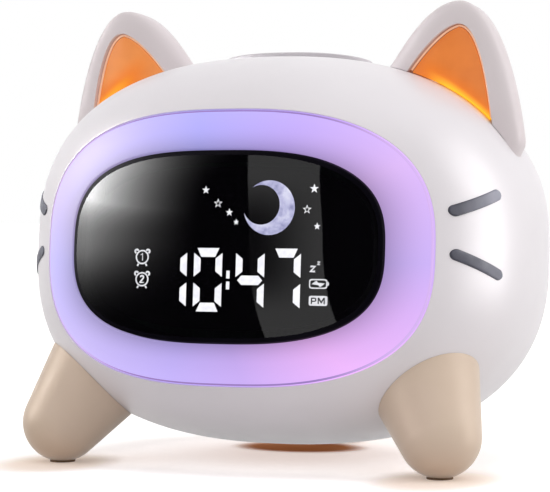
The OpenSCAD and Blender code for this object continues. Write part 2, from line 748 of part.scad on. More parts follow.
// Front and rear ends of the upper and the lower whisker, as y and z on the head
whisker_ends = [[[-38.7, 8.2], [-23.5, 14.2]], [[-38.4, -1.9], [-23.4, -7.2]]];
module whisker(ends) {
    n = 10;
    along = unit(ends[1] - ends[0]);
    length = norm(ends[1] - ends[0]);
    normal = [-along.y, along.x];
    function spot(u, v, d) =
        let(p = ends[0] + along * u + normal * v, x = head_side(p.x, p.y, d)) [x, p.x, p.y];
    function width_at(u) = let(r = whisker_w / 2, e = min(u, length - u))
        e >= r ? r : sqrt(max(0.01, r * r - (r - e) * (r - e)));
    rows = [
        for (k = [0:n])
            let(u = mix(0.08, length - 0.08, (1 - cos(180 * k / n)) / 2), w = width_at(u)) [
                spot(u, -w, -0.02), spot(u, 0, -0.02), spot(u, w, -0.02),
                spot(u, w, -whisker_t), spot(u, 0, -whisker_t), spot(u, -w, -whisker_t)
            ]
    ];
    loft(rows, [spot(0, 0, -whisker_t / 2), spot(length, 0, -whisker_t / 2)]);
}
module whiskers() color(slate) in_head() both_sides() for (ends = whisker_ends) whisker(ends);

// ---- Legs and feet ----

leg_end = 30;
foot_cut = 0.6;                                     // height of a foot's flat underside
pad_depth = 2;
module leg_body() {
    s = sin(leg_flare);
    c = cos(leg_flare);
    profile = concat(
        [[0, -foot_r]],
        [for (a = [-85:5:-5]) if (a < -leg_flare) [foot_r * cos(a), foot_r * sin(a)]],
        [[foot_r * c, -foot_r * s], [foot_r / c + leg_end * s / c, leg_end], [0, leg_end]]
    );
    rotate_extrude() polygon(profile);
}
module leg() difference() {
    union() {
        difference() {
            on_leg() leg_body();
            in_head() head_patch([44, -26, -36], -0.06);
        }
        on_leg() translate([0, 0, 4]) cylinder(r = peg_r, h = sleeve_end - 4.3);
    }
    on_leg() translate([0, 0, sleeve_end - 9]) cylinder(r = 1.3 + play, h = 12);
    translate([foot_x, -foot_forward, -1]) cylinder(r = pad_r + fit, h = pad_depth + 1);
    block(foot_x, -foot_forward, foot_cut - 2, [40, 40, 4]);
}
module right_leg() color(leg_beige) leg();
module left_leg() color(leg_beige) mirror([1, 0, 0]) leg();
module rear_foot() {
    profile = concat(
        [[0, foot_cut]],
        [for (a = [-90:10:0]) [rear_foot_r - 3 + 3 * cos(a), foot_cut + 3 + 3 * sin(a)]],
        [[rear_foot_r + 2, 26], [0, 26]]
    );
    color(leg_beige) difference() {
        union() {
            difference() {
                at_rear_foot() rotate_extrude() polygon(profile);
                in_head() head_patch([0, 38, -43], -0.06);
            }
            at_rear_foot() translate([0, 0, 4]) cylinder(r = rear_peg_r, h = rear_boss_z - 4.3);
        }
        at_rear_foot() translate([0, 0, rear_boss_z - 8]) cylinder(r = 1.1 + play, h = 12);
        at_rear_foot() translate([0, 0, -1]) cylinder(r = pad_r + fit, h = pad_depth + 1);
    }
}
module foot_pads() color(dark_plastic) {
    both_sides() translate([foot_x, -foot_forward, 0]) cylinder(r = pad_r, h = pad_depth);
    at_rear_foot() cylinder(r = pad_r, h = pad_depth);
}
module leg_washers() color(steel) {
    both_sides() on_leg() translate([0, 0, sleeve_end]) difference() {
        cylinder(r = sleeve_r - 0.8, h = washer_t);
        translate([0, 0, -1]) cylinder(r = 1.7, h = washer_t + 2);
    }
    at_rear_foot() translate([0, 0, rear_boss_z]) difference() {
        cylinder(r = 5.2, h = washer_t);
        translate([0, 0, -1]) cylinder(r = 1.5, h = washer_t + 2);
    }
}
module leg_screws() color(steel) {
    both_sides() on_leg() translate([0, 0, sleeve_end + washer_t]) screw(1.3, 9, 2.8, 1.8);
    at_rear_foot() translate([0, 0, rear_boss_z + washer_t]) screw(1.1, 7.5, 2.4, 1.6);
}

// ---- Top bar ----

guide_x = 14;
guide_r = 1.6;
module snooze_bar() {
    out = oval(bar_w, bar_d, bar_e);
    flange = oval(bar_w + 3.6, bar_d + 3.6, bar_e);
    function part(k) = [for (p = out) p * k];
    rows = concat(
        [for (k = [0.3, 0.65, 0.9, 1]) top_row(part(k), -bar_rise)],
        [top_row(out, wall + 0.3), top_row(flange, wall + 0.3), top_row(flange, bar_back)],
        [for (k = [0.65, 0.3]) top_row(part(k), bar_back)]
    );
    guide_end = bracket_z - 1;
    color("#d9d4da") in_head() {
        loft(rows, [[0, 0, head_h / 2 + bar_rise], [0, 0, head_h / 2 - bar_back]]);
        translate([0, 0, bar_under - stem_l]) cylinder(r = 2.2, h = stem_l + 1);
        for (side = [-1, 1]) translate([side * guide_x, 0, guide_end])
            cylinder(r = guide_r, h = head_top(guide_x, 0, bar_back) - guide_end + 1);
    }
}
module plunger() translate([0, 0, -plunger_l]) cylinder(r = plunger_r, h = plunger_l);
module switch_body() difference() {
    block(0, 0, switch_h / 2, [switch_w, switch_w, switch_h]);
    translate([0, 0, switch_h - switch_bore]) cylinder(r = plunger_r + play, h = switch_h);
}
module snooze_plunger() color(dark_plastic) in_head() translate([0, 0, bar_under - stem_l]) plunger();
module snooze_switch() color(soft_grey) in_head() translate([0, 0, snooze_switch_z]) switch_body();
module snooze_board() color(board_green) in_head()
    block(0, 0, snooze_board_z + board_t / 2, [16, 12, board_t]);
module snooze_bracket() color(inner_white) in_head() difference() {
    block(0, 0, bracket_z + bracket_t / 2, [2 * bracket_x + 7, 12, bracket_t]);
    both_sides() translate([guide_x, 0, bracket_z - 1]) cylinder(r = guide_r + play, h = bracket_t + 2);
    both_sides() translate([bracket_x, 0, bracket_z - 1]) cylinder(r = 1.15, h = bracket_t + 2);
}
module snooze_screws() color(steel) in_head() both_sides()
    translate([bracket_x, 0, bracket_z]) mirror([0, 0, 1]) screw(0.9, bracket_t + 5, 1.9, 1.3);

// ---- Rear keys, slider and socket ----

key_flange_y = panel_y - panel_t - 0.3;
module key_board() color(board_green) in_head() difference() {
    block(0, key_board_y + board_t / 2, -1, [76, board_t, 30]);
    block(0, key_board_y, -10, [20, 4 * board_t, 16]);
    for (side = [-1, 1]) rod(side * key_post.x, key_post.y, 1.1, key_board_y - 1, key_board_y + board_t + 1);
}
module key_switches() color(soft_grey) in_head() for (i = [0:3])
    translate([button_x(i), key_board_y + board_t, button_z]) rotate([-90, 0, 0]) switch_body();
module key_button(i) color(soft_grey) in_head() {
    x = button_x(i);
    face = panel_y + button_rise;
    stem_end = key_switch_y + button_travel + rest_gap;
    rod(x, button_z, button_r, key_flange_y - eps, face - 0.5);
    translate([x, face - 0.5, button_z]) rotate([-90, 0, 0])
        cylinder(r1 = button_r, r2 = button_r - 0.5, h = 0.5);
    rod(x, button_z, button_r + 0.9, key_flange_y - 1.2, key_flange_y);
    rod(x, button_z, 1.5, stem_end, key_flange_y - 1.1);
}
module key_plunger(i) color(dark_plastic) in_head()
    translate([button_x(i), key_switch_y + button_travel + rest_gap, button_z]) rotate([-90, 0, 0]) plunger();
module set_button() key_button(0);
module alarm_button() key_button(1);
module down_button() key_button(2);
module up_button() key_button(3);
module set_plunger() key_plunger(0);
module alarm_plunger() key_plunger(1);
module down_plunger() key_plunger(2);
module up_plunger() key_plunger(3);

slider_top = panel_y + 0.7;
power_h = 5.2;                                      // height of the power switch's body
power_y = key_board_y + board_t + power_h;          // top of the power switch's body
module power_switch() color(steel) in_head() translate([slider_x, 0, low_z]) difference() {
    block(0, power_y - power_h / 2, 0, [slider_travel + 8, power_h, 5.4]);
    block(0, power_y, 0, [slider_travel + 4.6, 5, 3]);
}
module power_slider() color(dark_plastic) in_head()
    translate([slider_x - slider_travel / 2, 0, low_z]) {
        block(0, (power_y - 2 + slider_top) / 2, 0, [3.4, slider_top - power_y + 2, 2.4]);
        for (k = [-1, 0, 1]) block(k * 1.1, slider_top + 0.15, 0, [0.5, 0.3 + eps, 2.4]);
    }
usb_front = panel_y - 0.3;
usb_w = 8.94;
usb_h = 3.26;
module usb_shell() color(steel) in_head() translate([usb_x, 0, low_z]) difference() {
    slot_bar(usb_w, usb_h, key_board_y + board_t, usb_front);
    slot_bar(usb_w - 0.6, usb_h - 0.6, key_board_y + board_t + 1.2, usb_front + 1);
}
module usb_tongue() color(dark_plastic) in_head() translate([usb_x, 0, low_z])
    block(0, (key_board_y + board_t + 1.2 + usb_front - 0.8) / 2, 0,
        [6.7, usb_front - 0.8 - key_board_y - board_t - 1.2, 0.7]);

// ---- Speaker, battery, fasteners and leads ----

gasket_t = 0.5;
speaker_y = panel_y - panel_t - gasket_t;           // rear face of the speaker's rim
module speaker_gasket() color(dark_plastic) in_head() difference() {
    rod(0, speaker_z, speaker_r, speaker_y, speaker_y + gasket_t);
    rod(0, speaker_z, speaker_r - 1.5, speaker_y - 1, speaker_y + gasket_t + 1);
}
module speaker() color(soft_grey) in_head() difference() {
    union() {
        rod(0, speaker_z, speaker_r, speaker_y - 1.4, speaker_y);
        rod(0, speaker_z, speaker_r * 0.72, speaker_y - 4.2, speaker_y - 1.3);
    }
    translate([0, speaker_y + eps, speaker_z]) rotate([90, 0, 0])
        cylinder(r1 = speaker_r - 1.6, r2 = speaker_r * 0.4, h = 1.2);
}
module battery_cell() color("#4a76b8") in_head() translate([-cell_l / 2, cell_y, cell_z]) rotate([0, 90, 0]) {
    cylinder(r = cell_r, h = cell_l - 1);
    translate([0, 0, cell_l - 1 - eps]) cylinder(r = 3, h = 1 + eps);
}
module battery_cradle() color(dark_plastic) in_head() difference() {
    union() {
        block(0, cell_y, cradle_z + cradle_t / 2, [cell_l + 4.6, 19, cradle_t]);
        for (side = [-1, 1]) {
            block(side * (cell_l / 2 + 1.35), cell_y, cradle_z + 8, [1.9, 19, 16]);
            block(side * 22, cell_y, cradle_z + 3.4, [3, 19, 6.8]);
        }
    }
    translate([-cell_l / 2 - fit, cell_y, cell_z]) rotate([0, 90, 0])
        cylinder(r = cell_r + fit, h = cell_l + 2 * fit);
    for (side = [-1, 1]) translate([side * cradle_screw_x, cell_y, cradle_z]) {
        translate([0, 0, -1]) cylinder(r = 1.1, h = cradle_t + 2);
        translate([0, 0, cradle_t - 1.2]) cylinder(r = 2.1, h = 3);
    }
}
module cradle_screws() color(steel) in_head() for (side = [-1, 1])
    translate([side * cradle_screw_x, cell_y, cradle_z + cradle_t - 1.2]) screw(0.9, 4, 1.8, 1);
module case_screws() color(steel) in_head() for (p = case_screws_at)
    screw_to_front(p.x, p.y, case_screw_seat, 1.1, 15, 2.6, 2);
module panel_screws() color(steel) in_head() for (side = [-1, 1])
    screw_to_front(side * panel_screw_x, 0, panel_y - 1, 0.9, 6.5, 2, 1);

function curve(a, b, c, d, n) = [
    for (k = [0:n])
        let(t = k / n, s = 1 - t)
            a * s * s * s + b * 3 * s * s * t + c * 3 * s * t * t + d * t * t * t
];
module lead(path) {
    n = len(path);
    rows = [
        for (i = [0:n - 1])
            let(
                t = unit(path[min(i + 1, n - 1)] - path[max(i - 1, 0)]),
                u = unit(cross(t, [0.31, 0.83, 0.47])),
                v = cross(u, t)
            ) [for (k = [0:7]) path[i] + lead_r * (cos(45 * k) * u + sin(45 * k) * v)]
    ];
    loft(rows, [path[0], path[n - 1]]);
}
module leads() color("#b03030") in_head() {
    top = main_y + board_t + 0.5;
    lead(curve([-30, top, -2], [-32, -4, -4], [-38, 0, -16], [-cell_l / 2 - 3.1, cell_y, cell_z + 5], 12));
    lead(curve([6, top, -2], [6, 4, -2], [8, 20, -4], [5, speaker_y - 4.3, speaker_z + 2], 12));
    lead(curve([8, top, 4], [8, -6, 20], [6, -4, 30], [5, 0, bracket_z - 0.6], 12));
    both_sides() lead(curve([24, top, 18], [26, -8, 26], [34, -8, 30],
        [47, ear_wire_y, head_top(47, ear_wire_y, wall) - 0.6], 12));
}
module ribbon_cable() color("#d8d8d8") in_head() {
    path = curve([main_y + board_t + 3, 15], [8, 13], [22, 13], [key_board_y, 8], 12);
    n = len(path);
    translate([-6, 0, 0]) rotate([90, 0, 90]) linear_extrude(12)
        polygon(concat([for (p = path) [p.x, p.y]], [for (i = [n - 1:-1:0]) [path[i].x, path[i].y + 0.5]]));
}

front_shell();
rear_shell();
back_panel();
light_ring();
display_lens();
lens_bezel();
ring_reflector();
display_film();
display_block();
digit_guides();
face_board();
ring_lamps();
face_frame();
frame_screws();
main_board();
main_board_parts();
board_screws();
left_ear();
right_ear();
left_ear_window();
right_ear_window();
left_ear_lamp();
right_ear_lamp();
ear_screws();
whiskers();
left_leg();
right_leg();
rear_foot();
foot_pads();
leg_washers();
leg_screws();
snooze_bar();
snooze_plunger();
snooze_switch();
snooze_board();
snooze_bracket();
snooze_screws();
key_board();
key_switches();
set_button();
alarm_button();
down_button();
up_button();
set_plunger();
alarm_plunger();
down_plunger();
up_plunger();
power_slider();
power_switch();
usb_shell();
usb_tongue();
speaker();
speaker_gasket();
battery_cell();
battery_cradle();
cradle_screws();
case_screws();
panel_screws();
ribbon_cable();
leads();
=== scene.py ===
"""The looks of the kids alarm clock with night light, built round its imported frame.

Pieces are drawn in millimetres in the head's own axes: x across, y towards the back, z up, with
the middle of the head at nought. to_row() leans the head back and gives metres in the frame's axes.
"""
import math

import bmesh
import bpy
import numpy as np
from mathutils import Matrix, Vector


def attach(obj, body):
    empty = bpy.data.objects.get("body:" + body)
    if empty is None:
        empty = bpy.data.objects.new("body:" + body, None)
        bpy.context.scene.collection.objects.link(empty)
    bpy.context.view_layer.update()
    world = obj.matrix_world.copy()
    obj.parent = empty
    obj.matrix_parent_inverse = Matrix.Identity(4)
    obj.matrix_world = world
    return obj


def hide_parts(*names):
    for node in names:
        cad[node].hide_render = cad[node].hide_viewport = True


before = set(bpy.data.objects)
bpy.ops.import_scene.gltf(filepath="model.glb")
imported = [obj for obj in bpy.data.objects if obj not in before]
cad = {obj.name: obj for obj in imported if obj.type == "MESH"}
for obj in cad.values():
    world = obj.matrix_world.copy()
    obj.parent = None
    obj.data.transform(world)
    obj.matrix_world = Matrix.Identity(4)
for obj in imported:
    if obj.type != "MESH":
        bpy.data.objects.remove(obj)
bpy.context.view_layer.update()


def linked(name, data):
    """A new object in the scene for a mesh, a curve, a camera or a light."""
    made = bpy.data.objects.new(name, data)
    bpy.context.scene.collection.objects.link(made)
    return made


# ---- Camera ----

HEAD_MIDDLE = Vector((0, 0, 0.05635))
VIEW_TURN, VIEW_RISE, VIEW_DISTANCE = math.radians(21.16), math.radians(1.26), 0.6134

level = math.cos(VIEW_RISE)
away = Vector((math.sin(VIEW_TURN) * level, -math.cos(VIEW_TURN) * level, math.sin(VIEW_RISE)))
shot = bpy.data.cameras.new("camera")
shot.lens, shot.sensor_width = 145.3, 36
shot.shift_x, shot.shift_y = -0.0331, 0.0110
shot.clip_start, shot.clip_end = 0.01, 20
camera = linked("camera", shot)
camera.location = HEAD_MIDDLE + away * VIEW_DISTANCE
camera.rotation_euler = (-away).to_track_quat("-Z", "Y").to_euler()
bpy.context.scene.camera = camera
bpy.context.scene.view_settings.view_transform = "Standard"


# ---- Finishes: shader maths as plain expressions ----

def operator(operation, reflected=False):
    """A method that puts a maths node between a value and a number or another value."""
    if reflected:
        return lambda self, other: self.maths(operation, other, self)
    return lambda self, other: self.maths(operation, self, other)


class Value:
    """A number that runs through the nodes of one finish."""

    def __init__(self, finish, socket):
        self.finish, self.socket = finish, socket

    def maths(self, operation, a, b):
        return self.finish.add("ShaderNodeMath", {"operation": operation}, {0: a, 1: b})

    __add__, __radd__ = operator("ADD"), operator("ADD", reflected=True)
    __sub__, __rsub__ = operator("SUBTRACT"), operator("SUBTRACT", reflected=True)
    __mul__, __rmul__ = operator("MULTIPLY"), operator("MULTIPLY", reflected=True)
    __truediv__, __pow__ = operator("DIVIDE"), operator("POWER")
    at_least = operator("MAXIMUM")

    # the angle whose tangent is this value over the other
    angle = operator("ARCTAN2")

    def __abs__(self):
        return self.finish.add("ShaderNodeMath", {"operation": "ABSOLUTE"}, {0: self})


def linear(colour):
    """A screen colour, 0 to 255, as the scene's own linear colour."""
    return tuple(c / 255 / 12.92 if c <= 10 else ((c / 255 + 0.055) / 1.055) ** 2.4 for c in colour)


class Finish:
    """One material: constants go straight to the shader, the rest through nodes."""

    def __init__(self, name, colour, rough, **constants):
        self.material = bpy.data.materials.new(name)
        self.material.use_nodes = True
        self.tree = self.material.node_tree
        self.shader = self.tree.nodes["Principled BSDF"]
        self.set("Base Color", linear(colour))
        self.set("Roughness", rough)
        for key, value in constants.items():
            self.set(key.replace("_", " "), value)

    def feed(self, socket, value):
        if isinstance(value, Value):
            self.tree.links.new(value.socket, socket)
        elif isinstance(value, tuple):
            socket.default_value = (*value, 1)
        else:
            socket.default_value = value

    def set(self, name, value):
        self.feed(self.shader.inputs[name], value)

    def add(self, kind, settings=None, inputs=None, out=0):
        """Adds one node: its settings first, then its sockets' values or links."""
        made = self.tree.nodes.new(kind)
        for key, value in (settings or {}).items():
            if key == "stops":
                ramp = made.color_ramp
                while len(ramp.elements) < len(value):
                    ramp.elements.new(0.5)
                for stop, (place, colour) in zip(ramp.elements, value):
                    stop.position, stop.color = place, (*colour, 1)
            else:
                setattr(made, key, value)
        for key, value in (inputs or {}).items():
            self.feed(made.inputs[key], value)
        return Value(self, made.outputs[out])

    def place(self):
        """Where the shaded spot lies, in the frame's own metres."""
        return self.add("ShaderNodeTexCoord", out=3)

    def axis(self, name):
        split = self.add("ShaderNodeSeparateXYZ", inputs={0: self.place()})
        return Value(self, split.socket.node.outputs[name])

    def ray(self, name):
        """1 for rays of the named kind, such as Is Camera Ray."""
        return Value(self, self.add("ShaderNodeLightPath").socket.node.outputs[name])

    def noise(self, scale, detail=3, rough=0.5):
        return self.add("ShaderNodeTexNoise", inputs={
            "Vector": self.place(), "Scale": scale, "Detail": detail, "Roughness": rough})

    def clouds(self, scale, one, two):
        """Soft patches of two screen colours."""
        return self.ramp(self.noise(scale), [(0.35, linear(one)), (0.65, linear(two))])

    def ramp(self, value, stops):
        return self.add("ShaderNodeValToRGB", {"stops": stops}, {"Fac": value})

    def span(self, value, low, high, new_low=0.0, new_high=1.0, smooth=True):
        """Maps low..high to new_low..new_high, and holds the ends outside it."""
        return self.add(
            "ShaderNodeMapRange", {"interpolation_type": "SMOOTHSTEP" if smooth else "LINEAR"},
            {"Value": value, "From Min": low, "From Max": high, "To Min": new_low, "To Max": new_high})

    def blend(self, factor, one, two, mode="MIX"):
        sockets = self.add("ShaderNodeMix", {"data_type": "RGBA", "blend_type": mode}).socket.node
        self.feed(sockets.inputs[0], factor)
        self.feed(sockets.inputs[6], one)
        self.feed(sockets.inputs[7], two)
        return Value(self, sockets.outputs[2])

    def bump(self, height, depth):
        self.set("Normal", self.add("ShaderNodeBump", inputs={
            "Height": height, "Distance": depth, "Strength": 1.0}))

    def mottled(self, one, two, scale):
        """A faint drift between two screen colours, as moulded and painted parts have."""
        self.set("Base Color", self.clouds(scale, one, two))

    def grained(self, scale, depth, rough_low, rough_high):
        """A fine moulded texture with the drift in gloss that goes with it."""
        self.bump(self.noise(scale, 4, 0.6), depth)
        self.set("Roughness", self.span(self.noise(scale / 12), 0.3, 0.7, rough_low, rough_high))


# ---- The head's surface, in millimetres in the head's own axes ----

HEAD_W, HEAD_D, HEAD_H = 140, 114, 105.5
HEAD_N, HEAD_M = 2.4, 2.7                      # how square it is, across and in its side view
TILT, HEAD_Z = math.radians(4.5), 56.35        # how it leans back, and how high its middle is
WALL, SKIN = 2.4, 0.05                         # the shells' wall, and how deep the looks lie in the solids
FACE_DROP, SEAM_Y = 1.7, 30                    # how low the face sits, and where the shells meet
BAR_RISE, BAR_GAP = 1.3, 0.35                  # how far the press bar stands out, and the gap round it
PANEL_SEAT = 46.5                              # where the rear panel rests
FINE, BAR_FINE = 288, 192                      # points round a head outline and round the press bar

# Ovals: width, height and how square they are
RING, LENS, PANEL, BAR = (108, 71, 2.7), (86, 49, 2.8), (84, 40, 3.2), (42, 27, 2.3)


def spow(value, power):
    """A power that keeps the sign."""
    return np.sign(value) * np.abs(value) ** power


def mix(a, b, t):
    return a + (b - a) * t


def ring_angles(count):
    return np.arange(count) * 2 * math.pi / count


def halves(d):
    """The head's half width, depth and height, d under its surface."""
    return HEAD_W / 2 - d, HEAD_D / 2 - d, HEAD_H / 2 - d


def side_view(y, z, d):
    """1 on the outline of the head's side view, less inside."""
    _, deep, high = halves(d)
    return (np.abs(y) / deep) ** HEAD_M + (np.abs(z) / high) ** HEAD_M


def head_value(p, d):
    """1 on the surface that lies d under the head's own, less inside."""
    wide = halves(d)[0]
    return (np.abs(p[..., 0]) / wide) ** HEAD_N + side_view(p[..., 1], p[..., 2], d) ** (HEAD_N / HEAD_M)


def on_head(p, d):
    """Points moved from or to the head's middle until they lie d under its surface."""
    return p * (head_value(p, d) ** (-1 / HEAD_N))[..., None]


def head_normal(p):
    wide, deep, high = halves(0)
    lift = (side_view(p[..., 1], p[..., 2], 0) + 1e-12) ** (HEAD_N / HEAD_M - 1)
    normal = np.stack([
        spow(p[..., 0] / wide, HEAD_N - 1) / wide,
        lift * spow(p[..., 1] / deep, HEAD_M - 1) / deep,
        lift * spow(p[..., 2] / high, HEAD_M - 1) / high], -1)
    return normal / np.linalg.norm(normal, axis=-1, keepdims=True)


def left_over(x, d):
    """What the head's side view may reach at x."""
    return np.maximum(0, 1 - (np.abs(x) / halves(d)[0]) ** HEAD_N) ** (HEAD_M / HEAD_N)


def head_y(x, z, d):
    _, deep, high = halves(d)
    return deep * np.maximum(0, left_over(x, d) - (np.abs(z) / high) ** HEAD_M) ** (1 / HEAD_M)


def head_top(x, y, d):
    _, deep, high = halves(d)
    return high * np.maximum(0, left_over(x, d) - (np.abs(y) / deep) ** HEAD_M) ** (1 / HEAD_M)


def head_side(y, z, d):
    wide = halves(d)[0]
    return wide * np.maximum(0, 1 - side_view(y, z, d) ** (HEAD_N / HEAD_M)) ** (1 / HEAD_N)


def oval(shape, grow=0.0, rise=0.0, count=FINE, scale=1.0):
    """Points round an oval that may be grown all round, raised and scaled."""
    w, h, e = shape
    a = ring_angles(count)
    return np.stack([
        (w / 2 + grow) * scale * spow(np.cos(a), 2 / e),
        (h / 2 + grow) * scale * spow(np.sin(a), 2 / e) + rise], -1)


def face_oval(shape, grow=0.0, scale=1.0):
    return oval(shape, grow, -FACE_DROP, FINE, scale)


def front_row(outline, d):
    """An outline in x and z laid on the head's front, d under its surface."""
    x, z = outline.T
    return np.stack([x, -head_y(x, z, d), z], -1)


def face_row(shape, grow, d, scale=1.0):
    return front_row(face_oval(shape, grow, scale), d)


def back_row(outline, d):
    x, z = outline.T
    return np.stack([x, head_y(x, z, d), z], -1)


def top_row(outline, d):
    x, y = outline.T
    return np.stack([x, y, head_top(x, y, d)], -1)


def bar_row(grow, d, scale=1.0):
    return top_row(oval(BAR, grow, 0, BAR_FINE, scale), d)


def flat_row(outline, y):
    x, z = outline.T
    return np.stack([x, np.full_like(x, y), z], -1)


def seam_row(y, d):
    """The head's outline across x and z at one y."""
    a = ring_angles(FINE)
    z = head_top(0, y, d) * spow(np.sin(a), 0.75)
    side = np.where(np.abs(np.cos(a)) < 1e-9, 0, np.sign(np.cos(a)))
    return np.stack([side * head_side(y, z, d), np.full_like(z, y), z], -1)


def skin_rows(start, end, d, steps):
    """Rows over the head's surface, from one row to another."""
    one = start / np.linalg.norm(start, axis=1, keepdims=True)
    two = end / np.linalg.norm(end, axis=1, keepdims=True)
    return [on_head(mix(one, two, k / steps), d) for k in range(steps + 1)]


def tilted(x, y, z, tilt=TILT):
    """Leans the head's own axes back into the frame's, or forth with -TILT."""
    c, s = math.cos(tilt), math.sin(tilt)
    return x, y * c + z * s, z * c - y * s


def to_row(points):
    """Millimetres in the head's axes to metres in the frame's."""
    x, y, z = tilted(*np.asarray(points, float).reshape(-1, 3).T)
    return np.stack([x, y, z + HEAD_Z], -1) / 1000


def to_head(points):
    """Millimetres in the frame's axes to the head's own."""
    x, y, z = np.asarray(points, float).reshape(-1, 3).T
    return np.stack(tilted(x, y, z - HEAD_Z, -TILT), -1)


def from_row(points):
    return to_head(np.asarray(points, float) * 1000)


def frame_row(points):
    """Millimetres to metres, for pieces that are drawn in the frame's own axes."""
    return np.asarray(points) / 1000


# ---- From rows of points to pieces ----

def mesh_object(name, points, faces, smooth=35):
    mesh = bpy.data.meshes.new(name)
    mesh.from_pydata([tuple(p) for p in points], [], faces)
    mesh.validate()
    made = linked(name, mesh)
    soften(made, smooth)
    return made


def soften(made, angle=35):
    """Smooth faces, but for edges sharper than an angle in degrees."""
    made.data.shade_smooth()
    made.data.set_sharp_from_angle(angle=math.radians(angle))


def loft(name, rows, tips=(), smooth=35, flip=False, placed=to_row, gap=1e-6):
    """A closed solid through rows of points: a ring of rows, or rows closed by two tips."""
    count, size = len(rows), len(rows[0])
    points = np.concatenate([*rows, *([np.asarray(tips, float)] if len(tips) else [])])
    faces = []
    for i in range(count if not len(tips) else count - 1):
        a, b = i * size, (i + 1) % count * size
        for j in range(size):
            k = (j + 1) % size
            faces.append((a + j, b + j, b + k, a + k))
    if len(tips):
        low, high, last = count * size, count * size + 1, (count - 1) * size
        for j in range(size):
            k = (j + 1) % size
            faces.append((low, j, k))
            faces.append((high, last + k, last + j))
    if flip:
        faces = [f[::-1] for f in faces]
    made = mesh_object(name, placed(points), faces, smooth)
    weld(made, gap)
    return made


def places(mesh):
    """The places of a mesh's points, one row each."""
    co = np.zeros(len(mesh.vertices) * 3)
    mesh.vertices.foreach_get("co", co)
    return co.reshape(-1, 3)


def settle_normals(made, d=SKIN):
    """The head's true normals wherever a face lies on its skin, so that no edge of the mesh shows."""
    mesh = made.data
    local = from_row(places(mesh))
    skin = np.abs(head_value(local, d) - 1) < 2e-4
    normal = np.stack(tilted(*head_normal(local).T), -1)
    loops = np.zeros(len(mesh.loops) * 3)
    mesh.corner_normals.foreach_get("vector", loops)
    loops = loops.reshape(-1, 3)
    corner = np.zeros(len(mesh.loops), int)
    mesh.loops.foreach_get("vertex_index", corner)
    for face in mesh.polygons:
        span = slice(face.loop_start, face.loop_start + face.loop_total)
        if skin[corner[span]].all():
            loops[span] = normal[corner[span]]
    mesh.normals_split_custom_set([tuple(n) for n in loops])


def as_mesh(made):
    """The mesh that an object's curve or modifiers give."""
    bpy.context.view_layer.update()
    return bpy.data.meshes.new_from_object(made.evaluated_get(bpy.context.evaluated_depsgraph_get()))


def carve(made, cutter):
    """Cuts the cutter out of a solid, and clears the cutter away."""
    cut = made.modifiers.new("cut", "BOOLEAN")
    cut.operation, cut.solver, cut.object = "DIFFERENCE", "EXACT", cutter
    shape = as_mesh(made)
    made.modifiers.clear()
    made.data = shape
    bpy.data.objects.remove(cutter)
    soften(made)


def piece(made, finish, body="case", stands_for=()):
    """Gives a mesh its finish and the body it moves with, and hides the nodes it stands for."""
    made.data.materials.clear()
    made.data.materials.append(finish.material)
    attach(made, body)
    if stands_for:
        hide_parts(*stands_for)


def swept(name, paths, closed, **settings):
    """The mesh that a curve gives along paths of points."""
    curve = bpy.data.curves.new(name, "CURVE")
    for key, value in settings.items():
        setattr(curve, key, value)
    for path in paths:
        spline = curve.splines.new("POLY")
        spline.points.add(len(path) - 1)
        for point, co in zip(spline.points, path):
            point.co = (*co, 1)
        spline.use_cyclic_u = closed
    line = linked(name, curve)
    mesh = as_mesh(line)
    bpy.data.objects.remove(line)
    return mesh


def plate(name, loops, y_front, thick, bevel=0.0, placed=to_row):
    """A flat plate cut along closed outlines given as x and z, with its front at y_front."""
    mesh = swept(name, [[(x, z, 0) for x, z in loop] for loop in loops], True, dimensions="2D",
        fill_mode="BOTH", extrude=thick / 2 - bevel, bevel_depth=bevel, bevel_resolution=2, offset=-bevel)
    co = places(mesh)
    local = np.stack([co[:, 0], y_front + thick / 2 - co[:, 2], co[:, 1]], -1)
    mesh.vertices.foreach_set("co", placed(local).ravel())
    made = linked(name, mesh)
    weld(made)
    soften(made, 40)
    return made


def weld(made, gap=1e-6):
    """Joins points that lie closer than a gap in metres, and turns all faces outwards."""
    work = bmesh.new()
    work.from_mesh(made.data)
    bmesh.ops.remove_doubles(work, verts=work.verts, dist=gap)
    bmesh.ops.recalc_face_normals(work, faces=work.faces)
    work.to_mesh(made.data)
    work.free()


def twin(made, name):
    """The left-hand copy of a right-hand piece."""
    mesh = made.data.copy()
    mesh.transform(Matrix.Scale(-1, 4, (1, 0, 0)))
    mesh.flip_normals()
    return linked(name, mesh)


def bead(name, path, radius):
    """A round bead along an open path, given in metres."""
    mesh = swept(name, [path], False, dimensions="3D", bevel_depth=radius / 1000, bevel_resolution=3,
        use_fill_caps=True)
    made = linked(name, mesh)
    weld(made, 1e-7)
    soften(made, 60)
    return made


def arc(x, z, r, angles):
    """Points round a middle, one at each angle."""
    return np.stack([x + r * np.cos(angles), z + r * np.sin(angles)], -1)


def circle(x, z, r, count=48):
    return arc(x, z, r, ring_angles(count))


# ---- The finishes ----

case_white = Finish("case_white", (233, 228, 232), 0.36, Coat_Weight=0.1, Coat_Roughness=0.25)
case_white.mottled((231, 226, 230), (235, 230, 234), 25)
case_white.grained(2600, 0.000004, 0.33, 0.4)

# The ears' shells: the case's white painted darker, as painted shade on their faces, and warmer, as the
# amber windows' light falling on them
ear_shaded_white = Finish("ear_shaded_white", (222, 213, 216), 0.45, Specular_IOR_Level=0.2)
ear_shaded_white.mottled((221, 211, 213), (225, 216, 218), 25)
ear_shaded_white.grained(2600, 0.000004, 0.42, 0.5)

panel_white = Finish("panel_white", (222, 216, 222), 0.5)
panel_white.mottled((219, 213, 219), (225, 220, 225), 40)
panel_white.grained(3200, 0.00001, 0.45, 0.55)

bar_grey = Finish("bar_grey", (205, 199, 204), 0.42)
bar_grey.mottled((203, 197, 202), (208, 202, 207), 40)
bar_grey.grained(2800, 0.000006, 0.4, 0.48)

